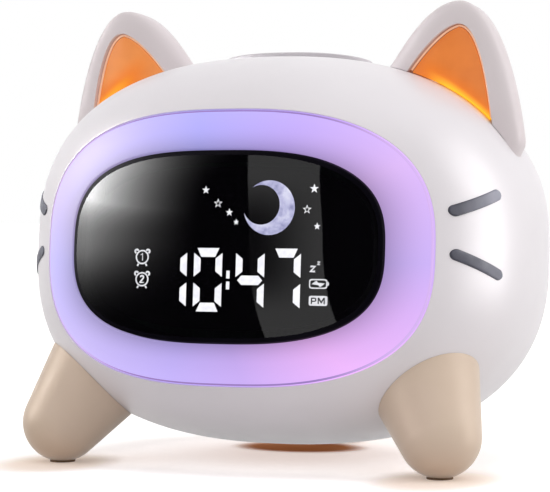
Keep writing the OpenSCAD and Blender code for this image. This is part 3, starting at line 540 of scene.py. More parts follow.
leg_beige = Finish("leg_beige", (222, 199, 178), 0.38, Specular_IOR_Level=0.12, Coat_Weight=0.03,
    Coat_Roughness=0.3, Sheen_Weight=0.12, Sheen_Roughness=0.4)
leg_beige.mottled((215, 194, 174), (220, 199, 180), 45)
leg_beige.grained(2400, 0.000006, 0.34, 0.42)

# Painted light: the whisker strips' colour lightens towards the back, most of all on the upper ones, where
# they would catch more light
whisker_slate = Finish("whisker_slate", (84, 86, 100), 0.5)
whisker_painted_light_back = whisker_slate.span(whisker_slate.axis("Y"), -0.036, -0.022, 0.0, 0.5)
whisker_painted_light_high = whisker_slate.span(whisker_slate.axis("Z"), 0.054, 0.064, 0.7, 1.6)
whisker_slate.set("Base Color", whisker_slate.blend(whisker_painted_light_back * whisker_painted_light_high,
    whisker_slate.clouds(300, (58, 58, 70), (70, 70, 84)), linear((150, 150, 164))))
whisker_slate.grained(4000, 0.000008, 0.45, 0.6)

lens_smoke = Finish("lens_smoke", (4, 3, 6), 0.02, IOR=1.53, Alpha=0.76)
lens_smoke.set("Roughness", lens_smoke.span(lens_smoke.noise(60), 0.3, 0.7, 0.015, 0.03))

lens_back = Finish("lens_back", (4, 3, 6), 0.9, Specular_IOR_Level=0.0, Alpha=0.05)
lens_back.mottled((3, 3, 5), (5, 4, 7), 50)

rim_black = Finish("rim_black", (9, 7, 14), 0.4, Specular_IOR_Level=0.04)
rim_black.mottled((7, 5, 11), (11, 9, 17), 90)

inner_black = Finish("inner_black", (24, 24, 28), 0.6)
inner_black.mottled((20, 20, 24), (28, 28, 32), 120)
inner_black.grained(3000, 0.00001, 0.5, 0.7)

display_mask = Finish("display_mask", (6, 5, 8), 0.65, Specular_IOR_Level=0.05)
display_mask.mottled((3, 3, 5), (6, 5, 8), 200)

inner_white = Finish("inner_white", (240, 240, 236), 0.55)
inner_white.mottled((236, 236, 232), (243, 243, 240), 90)
inner_white.grained(2500, 0.00001, 0.5, 0.62)

guide_clear = Finish("guide_clear", (235, 235, 242), 0.12, IOR=1.49, Transmission_Weight=0.6)
guide_clear.mottled((230, 230, 240), (240, 240, 246), 150)

board_green = Finish("board_green", (38, 92, 58), 0.35, Coat_Weight=0.5, Coat_Roughness=0.2)
tracks = board_green.add("ShaderNodeTexBrick", {"offset": 0.37}, {
    "Vector": board_green.place(), "Scale": 260, "Mortar Size": 0.03,
    "Color1": linear((36, 88, 55)), "Color2": linear((41, 98, 62)), "Mortar": linear((74, 128, 84))})
board_green.set("Base Color", tracks)

lamp_yellow = Finish("lamp_yellow", (244, 232, 170), 0.3)
lamp_yellow.mottled((240, 226, 160), (248, 240, 190), 900)

chip_black = Finish("chip_black", (30, 30, 33), 0.55)
chip_black.mottled((26, 26, 29), (36, 36, 40), 260)
chip_black.grained(5000, 0.00001, 0.5, 0.65)

steel = Finish("steel", (176, 178, 182), 0.3, Metallic=1.0)
steel.mottled((166, 168, 173), (188, 190, 194), 500)
steel.set("Roughness", steel.span(steel.noise(900), 0.3, 0.7, 0.24, 0.38))

# The feet's rubber pads, in a warm brown that also stands for painted contact shadow under the feet
pad_rubber = Finish("pad_rubber", (118, 92, 70), 0.85)
pad_rubber.mottled((112, 86, 64), (124, 98, 76), 400)
pad_rubber.grained(4500, 0.00002, 0.8, 0.92)

button_grey = Finish("button_grey", (150, 148, 154), 0.48)
button_grey.mottled((146, 144, 150), (155, 153, 159), 200)
button_grey.grained(3500, 0.00001, 0.44, 0.54)

# The battery cell's blue sleeve has a pale end
cell_blue = Finish("cell_blue", (62, 112, 176), 0.3, Coat_Weight=0.7, Coat_Roughness=0.1)
stripe = cell_blue.span(cell_blue.axis("X"), 0.019, 0.0195)
cell_blue.set("Base Color", cell_blue.blend(stripe,
    cell_blue.clouds(60, (58, 106, 170), (66, 118, 182)), linear((222, 226, 230))))

speaker_paper = Finish("speaker_paper", (92, 90, 94), 0.8)
speaker_paper.mottled((84, 82, 86), (100, 98, 102), 500)
speaker_paper.grained(3000, 0.00003, 0.75, 0.9)

lead_red = Finish("lead_red", (166, 40, 38), 0.45)
lead_red.mottled((158, 36, 34), (174, 46, 44), 300)

ribbon_grey = Finish("ribbon_grey", (205, 205, 208), 0.5)
wires = ribbon_grey.add("ShaderNodeTexWave", {"bands_direction": "X"}, {
    "Vector": ribbon_grey.place(), "Scale": 260})
ribbon_grey.set("Base Color", ribbon_grey.blend(
    wires, linear((186, 186, 190)), linear((214, 214, 217))))

# The light ring: a milky cover whose glow drifts in colour round the face, with painted shade darkening it
# towards the lens, and a little brighter towards the case.
# The middles are metres above the ground; the reaches are half widths and half heights.
DRIFT_MIDDLE, DRIFT_REACH = 0.0547, (0.054, 0.0355)
LENS_MIDDLE, LENS_REACH, LENS_POWER = 0.0588, (0.043, 0.0245), 2.8

ring_milk = Finish("ring_milk", (66, 62, 92), 0.42, Emission_Strength=0.87, Specular_IOR_Level=0.2)
drift_x = ring_milk.axis("X") / DRIFT_REACH[0]
drift_z = (ring_milk.axis("Z") - DRIFT_MIDDLE) / DRIFT_REACH[1]
around = drift_z.angle(drift_x) / (2 * math.pi) + 0.5
lit = ring_milk.ramp(around, [(turn, linear(colour)) for turn, colour in (
    (0.0, (204, 196, 255)), (0.1, (210, 196, 255)), (0.2, (199, 181, 252)), (0.27, (205, 175, 246)),
    (0.36, (244, 187, 255)), (0.44, (230, 186, 255)), (0.5, (212, 184, 253)), (0.61, (232, 193, 255)),
    (0.69, (204, 178, 255)), (0.77, (184, 179, 255)), (0.86, (213, 199, 250)), (0.93, (219, 204, 250)),
    (1.0, (204, 196, 255)))])
off_x = abs(ring_milk.axis("X") / LENS_REACH[0])
off_z = abs((ring_milk.axis("Z") - LENS_MIDDLE) / LENS_REACH[1])
outward = (off_x ** LENS_POWER + off_z ** LENS_POWER) ** (1 / LENS_POWER)
# painted shade: the glow darkened along the inner edge, next to the dark lens
lens_painted_shade = ring_milk.span(outward, 1.22, 0.98, smooth=False) ** 1.6
near_case = ring_milk.span(outward, 1.15, 1.4)
ring_milk.set("Emission Color", ring_milk.blend(
    1.0, lit, 0.98 - 0.5 * lens_painted_shade + 0.09 * near_case, "MULTIPLY"))

# Its outer edge: painted shade for the gap to the case, darker above and below than at the sides
ring_rim_shade = Finish("ring_rim_shade", (60, 52, 78), 0.42, Emission_Strength=0.87, Specular_IOR_Level=0.1)
ring_rim_shade.mottled((56, 50, 74), (62, 54, 80), 40)
ring_rim_shade.set("Emission Color", ring_rim_shade.blend(
    ring_rim_shade.span(abs(ring_rim_shade.axis("X")), 0.022, 0.046), linear((158, 127, 196)), linear((224, 188, 250))))

# The ears' amber windows, lit along their foot, whose height over x is close to a parabola.
# In the left one the light lies a little higher and further out.
FOOT_START, FOOT_SLOPE, FOOT_BEND = 0.097, 0.7216, 14.23
LAMP_UP, LAMP_OUT = 0.0044, 0.006

amber = Finish("amber", (190, 98, 30), 0.32, Coat_Weight=0.3, Coat_Roughness=0.15,
    Emission_Strength=1.0)
amber_x = abs(amber.axis("X"))
right_pane = amber.span(amber.axis("X"), -0.01, 0.01)
left_pane = 1 - right_pane
above_foot = amber.axis("Z") - (FOOT_START + amber_x * (FOOT_SLOPE - FOOT_BEND * amber_x))
above_lamp = above_foot - LAMP_UP * left_pane
lamp_x = amber_x - LAMP_OUT * left_pane
near_foot = amber.span(above_lamp, 0.0075, 0.001) * amber.span(lamp_x, 0.033, 0.043)
foot_line = amber.span(above_lamp, 0.0034, 0.0006) * amber.span(lamp_x, 0.039, 0.047)
pane_light = amber.blend(right_pane, linear((176, 116, 66)), linear((160, 90, 40)))
lamp_light = amber.blend(right_pane, linear((222, 150, 18)), linear((255, 190, 30)))
amber.mottled((186, 96, 28), (198, 108, 36), 120)
amber.set("Emission Color", amber.blend(foot_line,
    amber.blend(near_foot, pane_light, linear((184, 92, 0))), lamp_light))

amber_edge = Finish("amber_edge", (240, 200, 172), 0.35, Emission_Strength=0.25)
amber_edge.mottled((238, 192, 160), (244, 208, 184), 200)
amber_edge.set("Emission Color", amber_edge.clouds(150, (236, 180, 140), (246, 206, 176)))

# The display's lit marks
segment_white = Finish("segment_white", (235, 235, 240), 0.5, Emission_Strength=4.4)
segment_white.set("Emission Color", segment_white.clouds(900, (236, 236, 246), (255, 255, 255)))

icon_white = Finish("icon_white", (225, 225, 230), 0.5, Emission_Strength=4.0)
icon_white.set("Emission Color", icon_white.clouds(900, (222, 222, 228), (245, 245, 250)))

moon_silver = Finish("moon_silver", (120, 120, 150), 0.6, Emission_Strength=4.2)
seas = moon_silver.noise(260, 6, 0.65)
moon_silver.set("Emission Color", moon_silver.ramp(seas, [
    (0.3, linear((120, 120, 165))), (0.5, linear((190, 190, 225))), (0.7, linear((238, 238, 255)))]))


# ---- The case ----

SCREW_HOLES = [(x, z) for x in (-51, 51) for z in (-21, 21)]
HOLE_R, WELL_R, WELL_FLOOR = 3.1, 5, 34


def case_front():
    """The front shell: the ring's edge, the skin to the seam, the lip, and back along the inside."""
    ring_edge = [face_row(RING, grow, d) for grow, d in (
        (0, 0.5), (0.03, SKIN + 0.2), (0.12, SKIN + 0.06))]
    skin = skin_rows(face_row(RING, 0.3, SKIN), seam_row(SEAM_Y - 0.3, SKIN), SKIN, 60)
    seam_edge = [seam_row(SEAM_Y - 0.1, SKIN + 0.05), seam_row(SEAM_Y - 0.03, SKIN + 0.16)]
    lip_end = SEAM_Y - 3.25
    groove = [seam_row(SEAM_Y - 0.03, 1.1), seam_row(lip_end, 1.1)]
    inside = skin_rows(face_row(RING, 0, WALL), seam_row(lip_end, WALL), WALL, 16)
    made = loft("case_front", ring_edge + skin + seam_edge + groove + inside[::-1])
    bar_edge = [(0, 5), (0, 0.4), (0.04, 0.22), (0.14, 0.1), (0.34, SKIN - 0.004), (0.6, -0.12)]
    rows = [bar_row(BAR_GAP + grow, d) for grow, d in bar_edge]
    rows.append(rows[-1] + (0, 0, 3))
    cutter = loft("cutter", rows, [(0, 0, HEAD_H / 2 - 8), (0, 0, HEAD_H / 2 + 6)], flip=True)
    carve(made, cutter)
    settle_normals(made)
    piece(made, case_white, stands_for=["front_shell"])


def case_rear():
    """The rear shell: the panel's edge, the skin, the lip, the inside and the panel's seat."""
    w, h, e = PANEL
    cup, ledge = (w + 2 * WALL, h + 2 * WALL, e), (w - 6, h - 6, e)
    panel_edge = [back_row(oval(PANEL, grow), d) for grow, d in (
        (0, 0.5), (0.05, SKIN + 0.15), (0.18, SKIN + 0.04))]
    skin = skin_rows(back_row(oval(PANEL, 0.4), SKIN), seam_row(SEAM_Y + 0.3, SKIN), SKIN, 48)
    seam_edge = [seam_row(SEAM_Y + 0.1, SKIN + 0.05), seam_row(SEAM_Y + 0.03, SKIN + 0.16)]
    lip = [seam_row(SEAM_Y + 0.03, 1.25), seam_row(SEAM_Y - 3, 1.25), seam_row(SEAM_Y - 3, WALL)]
    inside = skin_rows(back_row(oval(cup), WALL), seam_row(SEAM_Y, WALL), WALL, 12)
    seat = [flat_row(oval(shape), y) for shape, y in (
        (cup, PANEL_SEAT - WALL), (ledge, PANEL_SEAT - WALL), (ledge, PANEL_SEAT), (PANEL, PANEL_SEAT))]
    made = loft("case_rear", panel_edge + skin + seam_edge + lip + inside[::-1] + seat)
    ends = WELL_FLOOR, 60
    for x, z in SCREW_HOLES:
        rows = [flat_row(circle(x, z, HOLE_R, 64), y) for y in ends]
        carve(made, loft("cutter", rows, [(x, y, z) for y in ends]))
    settle_normals(made)
    # the wells line the holes, from under the skin to where the screws sit
    for n, (x, z) in enumerate(SCREW_HOLES):
        wide, bore = circle(x, z, WELL_R), circle(x, z, HOLE_R + 0.02)
        rows = [flat_row(wide, WELL_FLOOR - 0.8), back_row(wide, 1.1), back_row(bore, 1.1),
                flat_row(bore, WELL_FLOOR)]
        well = loft(f"screw_well_{n + 1}", rows, [(x, WELL_FLOOR - 0.8, z), (x, WELL_FLOOR, z)])
        piece(well, case_white, stands_for=["rear_shell"])
    piece(made, case_white, stands_for=["rear_shell"])


def light_ring():
    """The milky cover: rolled edges, the lit face, and a flange that holds it from behind."""
    out, inner, flange = face_oval(RING, -0.25), face_oval(LENS, 0.25), face_oval(RING, 2.1)
    band = [(0, 0.45), (0.006, 0.2), (0.025, SKIN + 0.03), (0.045, SKIN)]
    rows = [front_row(mix(out, inner, k), d) for k, d in band]
    rows += [front_row(mix(out, inner, k), SKIN) for k in np.linspace(0.1, 0.9, 17)]
    rows += [front_row(mix(out, inner, 1 - k), d) for k, d in band[::-1]]
    rows += [front_row(mix(out, inner, k), 2.45) for k in np.linspace(1, 0.25, 8)]
    rows += [front_row(mix(out, inner, 0.15), 3.8), front_row(flange, 3.8), front_row(flange, 2.7),
             front_row(out, 2.7)]
    made = loft("light_ring_cover", rows, flip=True)
    settle_normals(made)
    piece(made, ring_milk, stands_for=["light_ring"])
    # the faces between the first four rows are the ring's outer edge, painted with the shade of the gap to
    # the case
    made.data.materials.append(ring_rim_shade.material)
    for face in made.data.polygons[:3 * len(out)]:
        face.material_index = 1


def display_window():
    """A clear middle in a dark rim, flush with the head."""
    edge, back = -1.25, 2.05
    rows = [face_row(LENS, edge, SKIN, k) for k in np.linspace(0.03, 0.98, 26)]
    rows += [face_row(LENS, edge, SKIN), face_row(LENS, edge, back)]
    rows += [face_row(LENS, edge, back, k) for k in np.linspace(0.96, 0.05, 14)]
    tips = [(0, -head_y(0.0, -FACE_DROP, d), -FACE_DROP) for d in (SKIN, back)]
    clear = loft("display_window", rows, tips)
    settle_normals(clear)
    piece(clear, lens_smoke, stands_for=["display_lens"])
    clear.data.materials.append(lens_back.material)
    for face in clear.data.polygons:
        corners = np.array([clear.data.vertices[i].co for i in face.vertices])
        if (head_value(from_row(corners), SKIN) < 0.999).any():
            face.material_index = 1

    rows = [face_row(LENS, grow, d) for grow, d in (
        (edge, SKIN), (-0.6, SKIN), (-0.3, SKIN + 0.02), (-0.12, SKIN + 0.09), (-0.03, SKIN + 0.2),
        (0, SKIN + 0.4), (0, 2.8), (2.1, 2.8), (2.1, 3.9), (edge, 3.9))]
    rim = loft("display_rim", rows)
    settle_normals(rim)
    piece(rim, rim_black, stands_for=["display_lens"])


def snooze_bar():
    """The press bar: a raised cap on the head's crest with a flange under the shell."""
    w, d, e = BAR
    rise = BAR_RISE - SKIN
    flange = oval((w + 3.6, d + 3.6, e), 0, 0, BAR_FINE)
    rows = [bar_row(0, -rise, k) for k in np.linspace(0.05, 0.96, 16)]
    rows += [bar_row(grow, sink - rise) for grow, sink in (
        (-0.5, 0), (-0.28, 0.04), (-0.1, 0.16), (-0.01, 0.42))]
    rows += [bar_row(0, 2.7), top_row(flange, 2.7), top_row(flange, 3.9)]
    rows += [bar_row(0, 3.9, k) for k in (0.7, 0.3)]
    made = loft("snooze_bar_cap", rows, [(0, 0, HEAD_H / 2 + rise), (0, 0, HEAD_H / 2 - 3.9)])
    settle_normals(made, -rise)
    piece(made, bar_grey, "snooze", ["snooze_bar"])


# ---- Ears ----

EAR_X, EAR_Z, EAR_D, EAR_FORWARD, EAR_E = 48.4, 66.9, 14, 5.6, 2.8

# Each side of an ear or a window: how wide, how high, and the two powers that bend it
EAR_OUT, EAR_IN = (18.2, 44, 2.3, 1.5), (19.8, 18, 2, 0.9)
WINDOW_OUT, WINDOW_IN, WINDOW_DROP = (9.9, 33, 2.35, 1.5), (17, 16.5, 1.57, 1), 6
WINDOW_Y, WINDOW_T = -EAR_FORWARD - 4.7, 1.6
PANE_GAP, BEAD_GAP = 0.75, 0.4
POCKET_Y = WINDOW_Y + WINDOW_T + 1.9
TAIL_Z, TAIL_RUN, TAIL_SINK = 30.0, 6.0, 2.4   # where an ear's outer tail draws in to the head
EAR_FOOT = -0.05                               # how deep an ear's foot lies under the head's surface


def side_step(side, t):
    """A step out and up along one side, from the tip at 0 to the foot at 90 degrees."""
    s = np.maximum(0, np.sin(np.radians(t)))
    c = np.maximum(0, np.cos(np.radians(t)))
    return side[0] * s ** (2 / side[2]), -side[1] * (1 - c ** (2 / side[3]))


def ear_point(out, t):
    x, z = side_step(EAR_OUT if out else EAR_IN, t)
    return np.array([EAR_X + (1 if out else -1) * x, EAR_Z + z])


def leaning(y, z):
    """A depth in the ear's upright plane as the leaning head has it at height z."""
    return y + (EAR_Z - z) * math.tan(TILT)


def upright(points):
    """The ear's own upright axes to the head's."""
    x, y, z = np.asarray(points, float).reshape(-1, 3).T
    x, y, z = tilted(x, y + EAR_FORWARD, z - EAR_Z, -TILT)
    return np.stack([x, y - EAR_FORWARD, z + EAR_Z], -1)


def upright_row(points):
    return to_row(upright(points))


def ear_section(t, q):
    """Points between an ear's inner side and its outer one."""
    return mix(ear_point(False, t)[None], ear_point(True, t)[None], q[:, None])


def ear_rows(count=160):
    """Rows from the middle of an ear's foot to its edge, then up to the tip."""
    a = ring_angles(count)
    wide, deep = spow(np.cos(a), 2 / EAR_E), spow(np.sin(a), 2 / EAR_E)
    rows = []
    for k in (0.12, 0.35, 0.6, 0.85):
        base = ear_section(90, (1 + k * wide) / 2)
        y = leaning(k * deep * (EAR_D / 2 - SKIN) - EAR_FORWARD, base[:, 1])
        rows.append(np.stack([base[:, 0], y, head_top(base[:, 0], y, EAR_FOOT)], -1))
    base = ear_section(90, (1 + wide) / 2)
    side = deep * (EAR_D / 2 - SKIN)
    seat = head_top(base[:, 0], leaning(side - EAR_FORWARD, base[:, 1]), EAR_FOOT)
    for s in np.concatenate([np.linspace(0, 0.8, 33), 1 - np.geomspace(0.18, 0.004, 16)]):
        p = ear_section(90 * (1 - s), (1 + wide) / 2)
        y = leaning(side * math.sqrt(1 - s ** 3) - EAR_FORWARD, p[:, 1])
        z = p[:, 1] + (1 - s) * (seat - base[:, 1]) - SKIN * s
        rows.append(np.stack([p[:, 0], y, z], -1))
    for row in rows:
        low = np.clip((TAIL_Z - row[:, 2]) / TAIL_RUN, 0, 1)
        row[:, 0] -= np.where(row[:, 0] > EAR_X + 6, TAIL_SINK * low * low * (3 - 2 * low), 0)
    return rows


def window_side(out, gap):
    """One side of a window from its tip down, with a gap all along."""
    x, z = side_step(WINDOW_OUT if out else WINDOW_IN, np.arange(0, 91, 3))
    x = EAR_X + 0.7 + (1 if out else -1) * np.maximum(0, x - gap)
    return np.stack([x, EAR_Z - WINDOW_DROP + z - gap], -1)


def foot_z_at(x):
    """The height of the head under a window, and a little more."""
    return head_top(x, leaning(WINDOW_Y, HEAD_H / 2 - 12), -0.4)


def window_sides(gap):
    """The parts of both sides that lie above the head."""
    both = window_side(True, gap), window_side(False, gap)
    return [side[side[:, 1] > foot_z_at(side[:, 0]) + 0.2] for side in both]


def window_outline(gap):
    """The window's outline: down the outer side, along the head and up the inner side."""
    out, inner = window_sides(gap)
    x = np.linspace(out[-1, 0], inner[-1, 0], 24)
    foot = np.stack([x, foot_z_at(x)], -1)
    return np.concatenate([out, foot, inner[:0:-1]])


def both_sides(made, label, finish, stands_for):
    """Finishes a right-hand piece and its left-hand twin."""
    other = twin(made, "left_" + label)
    piece(made, finish, stands_for=["right_" + stands_for])
    piece(other, finish, stands_for=["left_" + stands_for])


def ears():
    """Each ear has a shell with a pocket, an amber pane in it, and a bright bead along its edge."""
    middle = mix(ear_point(False, 90), ear_point(True, 90), 0.5)
    y = leaning(-EAR_FORWARD, middle[1])
    tips = [(middle[0], y, head_top(middle[0], y, EAR_FOOT)), (EAR_X, -EAR_FORWARD, EAR_Z - SKIN)]
    made = loft("right_ear_shell", ear_rows(), tips)
    pocket = np.concatenate([window_side(True, 0), window_side(False, 0)[:0:-1]])
    carve(made, plate("cutter", [pocket], -30, 30 + POCKET_Y, placed=upright_row))
    both_sides(made, "ear_shell", ear_shaded_white, "ear")

    pane = plate("right_ear_pane", [window_outline(PANE_GAP)], WINDOW_Y, WINDOW_T, 0.15, upright_row)
    both_sides(pane, "ear_pane", amber, "ear_window")

    out, inner = window_sides(BEAD_GAP)
    path = np.concatenate([out[::-1], inner[1:]])
    path = np.stack([path[:, 0], np.full(len(path), WINDOW_Y + 0.25), path[:, 1]], -1)
    edge = bead("right_ear_edge", upright_row(path), 0.3)
    both_sides(edge, "ear_edge", amber_edge, "ear_window")


# ---- Whiskers, legs and feet ----

# The two ends of each whisker strip as y and z, and half its width
WHISKERS = (((-38.7, 8.2), (-23.5, 14.2)), ((-38.4, -1.9), (-23.4, -7.2)))
WHISKER_HALF = 1.45


def whisker(ends, label):
    """A strip with round ends that lies on the side of the head."""
    one, two = np.array(ends[0]), np.array(ends[1])
    length = np.linalg.norm(two - one)
    along = (two - one) / length
    normal = np.array([-along[1], along[0]])

    def spots(u, v, d):
        p = one + along * u + normal * v[:, None]
        return np.stack([head_side(p[:, 0], p[:, 1], d), p[:, 0], p[:, 1]], -1)

    steps, rows = 48, []
    for k in range(1, steps):
        u = length * (1 - math.cos(math.pi * k / steps)) / 2
        from_end = min(u, length - u, WHISKER_HALF)
        half = math.sqrt(WHISKER_HALF ** 2 - (WHISKER_HALF - from_end) ** 2)
        v = np.array([-1, -0.97, -0.85, -0.5, 0, 0.5, 0.85, 0.97, 1]) * half
        lift = (0.0, -0.17, -0.26, -0.28, -0.28, -0.28, -0.26, -0.17, 0.0)
        top = np.concatenate([spots(u, v[i:i + 1], d) for i, d in enumerate(lift)])
        rows.append(np.concatenate([top, spots(u, v[::-1][2:-2], 0.03)]))
    tips = [spots(0.0, np.zeros(1), -0.02)[0], spots(length, np.zeros(1), -0.02)[0]]
    return loft("right_whisker_" + label, rows, tips, 60, gap=1e-7)


def whiskers():
    for ends, label in zip(WHISKERS, ("upper", "lower")):
        made = whisker(ends, label)
        for one in (made, twin(made, "left_whisker_" + label)):
            piece(one, whisker_slate, stands_for=["whiskers"])


# Legs and feet are drawn in the frame's own axes. A front leg: its foot's middle and radius, the
# flare of the cone above it, its way up, how far it may reach, and where the foot is cut level.
FOOT, FOOT_R, FLARE = np.array([53.4, -35.0, 10.7]), 10.7, math.radians(12.5)
LEG_UP = np.array([-0.53, 0.645, 1.0]) / np.linalg.norm([-0.53, 0.645, 1.0])
LEG_REACH, FOOT_LOW = 34.0, 0.25
# The rear foot: its place, the flat part's radius, the rounding, and the cone's ends and widening
REAR_Y, REAR_CORE, REAR_ROUND = 38.0, 6, 2.95
REAR_LOW, REAR_TOP, REAR_FLARE = 3.6, 26.0, 2
LEG_END = -0.03                                # how deep a leg's end lies under the head's surface


def row_value(points):
    """1 where a leg ends, less inside the head; points in millimetres in the frame's axes."""
    return head_value(to_head(points), LEG_END)


def up_to_head(shape, low, high):
    """How far each line round a leg runs until it meets the head's skin."""
    for _ in range(40):
        half = (low + high) / 2
        outside = row_value(shape(half)) > 1
        low, high = np.where(outside, half, low), np.where(outside, high, half)
    return low


def legs(count=144):
    """A round foot that flares up into the head and ends exactly on the head's skin."""
    one = np.cross(LEG_UP, [0, 0, 1.0])
    one /= np.linalg.norm(one)
    two = np.cross(LEG_UP, one)
    a = ring_angles(count)
    ring = np.cos(a)[:, None] * one + np.sin(a)[:, None] * two
    rows = []
    for f in np.radians(np.linspace(-88, -math.degrees(FLARE), 44)):
        rows.append(FOOT + ring * FOOT_R * math.cos(f) + LEG_UP * FOOT_R * math.sin(f))
    start, wide = -FOOT_R * math.sin(FLARE), FOOT_R * math.cos(FLARE)

    def cone(up):
        return FOOT + LEG_UP * up[:, None] + ring * (wide + (up - start) * math.tan(FLARE))[:, None]

    reach = up_to_head(cone, np.full(count, start), np.full(count, LEG_REACH))
    rows += [cone(mix(start, reach, t)) for t in np.linspace(0, 1, 26)[1:]]
    rim = rows[-1]
    centre = rim.mean(0)
    for k in (0.8, 0.5, 0.2):
        inner = centre + (rim - centre) * k
        for _ in range(30):
            inner = inner + LEG_UP * ((1 - row_value(inner)) * -18)[:, None]
        rows.append(inner)
    tip = rows[-1].mean(0)
    rows = [np.stack([r[:, 0], r[:, 1], np.maximum(r[:, 2], FOOT_LOW)], -1) for r in rows]
    made = loft("right_leg_shell", rows, [rows[0].mean(0), tip], 60, placed=frame_row, gap=1e-7)
    both_sides(made, "leg_shell", leg_beige, "leg")


def rear_foot(count=96):
    """A round foot that widens a little on its way up and ends on the head's skin."""
    a = ring_angles(count)
    ring = np.stack([np.cos(a), np.sin(a), np.zeros(count)], -1)
    base = np.array([0, REAR_Y, 0])

    def at(r, z):
        r, z = np.broadcast_to(r, (count,)), np.broadcast_to(z, (count,))
        return base + ring * r[:, None] + np.stack([0 * z, 0 * z, z], -1)

    def cone(z):
        return at(REAR_CORE + REAR_ROUND + (z - REAR_LOW) * REAR_FLARE / (REAR_TOP - REAR_LOW), z)

    rows = [at(r, 0.62) for r in (0.5, 3, 5.5)]
    rows += [at(REAR_CORE + REAR_ROUND * math.cos(f), REAR_LOW + REAR_ROUND * math.sin(f))
             for f in np.radians(np.linspace(-88, 0, 12))]
    top = up_to_head(cone, np.full(count, REAR_LOW), np.full(count, REAR_TOP))
    rows += [cone(mix(REAR_LOW, top, t)) for t in np.linspace(0, 1, 8)[1:]]
    rim = rows[-1]
    rows += [base + (rim - base) * (k, k, 1) for k in (0.6, 0.2)]
    tips = [rows[0].mean(0), rows[-1].mean(0)]
    made = loft("rear_foot_shell", rows, tips, 60, placed=frame_row, gap=1e-7)
    piece(made, leg_beige, stands_for=["rear_foot"])


# ---- What the display shows, on the film behind the window ----

GLYPH_Y, GLYPH_T = -46.66, 0.05
DIGIT_W, DIGIT_H, STROKE, DIGIT_Z = 7.9, 16.4, 1.85, -9.9


def segments():
    """The lit strokes of 10:47, each digit's by their usual letters, and the colon."""
    w, h, t = DIGIT_W / 2, DIGIT_H / 2, STROKE
    upright_bar = [(w, 0.8), (w, h - 1.3), (w - t, h - 2.7), (w - t, 2.2)]
    cap = [(0.9 - w, h), (w - 0.9, h), (w - 2, h - 2.3), (2 - w, h - 2.3)]
    middle = [(0.5 - w, 0), (1.6 - w, 1.2), (w - 1.6, 1.2), (w - 0.5, 0), (w - 1.6, -1.2), (1.6 - w, -1.2)]
    strokes = {
        "a": cap, "g": middle, "d": [(x, -z) for x, z in cap],
        "b": upright_bar, "c": [(x, -z) for x, z in upright_bar],
        "f": [(-x, z) for x, z in upright_bar], "e": [(-x, -z) for x, z in upright_bar]}
    loops = []
    for x, lit_strokes in ((-15.25, "bc"), (-5.35, "abcdef"), (6.35, "fgbc"), (16.25, "abc")):
        loops += [[(x + u, v + DIGIT_Z) for u, v in strokes[s]] for s in lit_strokes]
    for z in (DIGIT_Z + 1.4, DIGIT_Z - 1.4):
        loops.append([(0.3 + u * 0.45, z + v) for u, v in ((-1, -1), (1, -1), (1, 1), (-1, 1))])
    return loops


def star(x, z, r):
    """A five-pointed star, one point up."""
    k = np.arange(10)
    return arc(x, z, np.where(k % 2, 0.4, 1) * r, np.radians(90 + 36 * k))


def ribbon(path, width):
    """The outline of a stroke of one width along a path."""
    path = np.array(path, float)
    way = np.diff(path, axis=0)
    way /= np.linalg.norm(way, axis=1, keepdims=True)
    side = np.stack([-way[:, 1], way[:, 0]], -1)
    both = np.concatenate([side[:1], side[:-1] + side[1:], side[-1:]])
    mitre = both / np.maximum(0.5, (both ** 2).sum(1) / 4)[:, None]
    mitre[0], mitre[-1] = side[0], side[-1]
    return np.concatenate([path + mitre * width / 2, (path - mitre * width / 2)[::-1]])


def shifted(loops, x, z, size=1.0):
    return [[(x + u * size, z + v * size) for u, v in loop] for loop in loops]


def alarm_icon(number):
    """A small alarm clock with two bells, two feet and its number."""
    loops = [circle(0, 0, 1.88), circle(0, 0, 1.5), ribbon(number, 0.2)]
    for side in (-1, 1):
        bell = arc(1.6, 1.5, 0.46, np.radians(np.arange(-75, 166, 15))) * (side, 1)
        loops.append(ribbon(bell, 0.24))
        loops.append(ribbon([(side * 1.0, -1.72), (side * 1.34, -2.3)], 0.42))
    return loops


ONE = [(-0.42, 0.55), (0.08, 0.92), (0.08, -0.95)]
TWO = [(-0.5, 0.5), (-0.3, 0.86), (0.08, 0.96), (0.42, 0.74), (0.42, 0.38), (0.14, 0.0), (-0.5, -0.74),
       (-0.42, -0.84), (0.58, -0.84)]
ZED = [(-0.62, 0.62), (0.6, 0.62), (-0.6, -0.62), (0.64, -0.62)]
BATTERY, BATTERY_HOLE, BATTERY_TIP = (4.9, 2.5, 6), (4.3, 1.85, 6), [
    (27.58, -11.1), (27.58, -10.0), (27.95, -10.2), (27.95, -10.9)]
BOLT = [(-1.8, -0.1), (-0.5, 0.85), (-0.05, 0.3), (1.8, 0.1), (0.5, -0.85), (0.05, -0.3)]
LABEL = (5.0, 2.5, 9)
LETTER_P = [[(0, 0), (0, 1.3), (0.95, 1.3), (1.2, 1.1), (1.2, 0.65), (0.95, 0.45), (0.3, 0.45), (0.3, 0)],
            [(0.3, 0.7), (0.85, 0.7), (0.92, 0.8), (0.92, 0.95), (0.85, 1.05), (0.3, 1.05)]]
LETTER_M = [[(0, 0), (0, 1.3), (0.36, 1.3), (0.78, 0.6), (1.2, 1.3), (1.56, 1.3), (1.56, 0), (1.28, 0),
             (1.28, 0.82), (0.88, 0.18), (0.68, 0.18), (0.28, 0.82), (0.28, 0)]]
MOON, MOON_CUT = (11.16, 8.73, 7.0), (8.93, 9.47, 5.1)


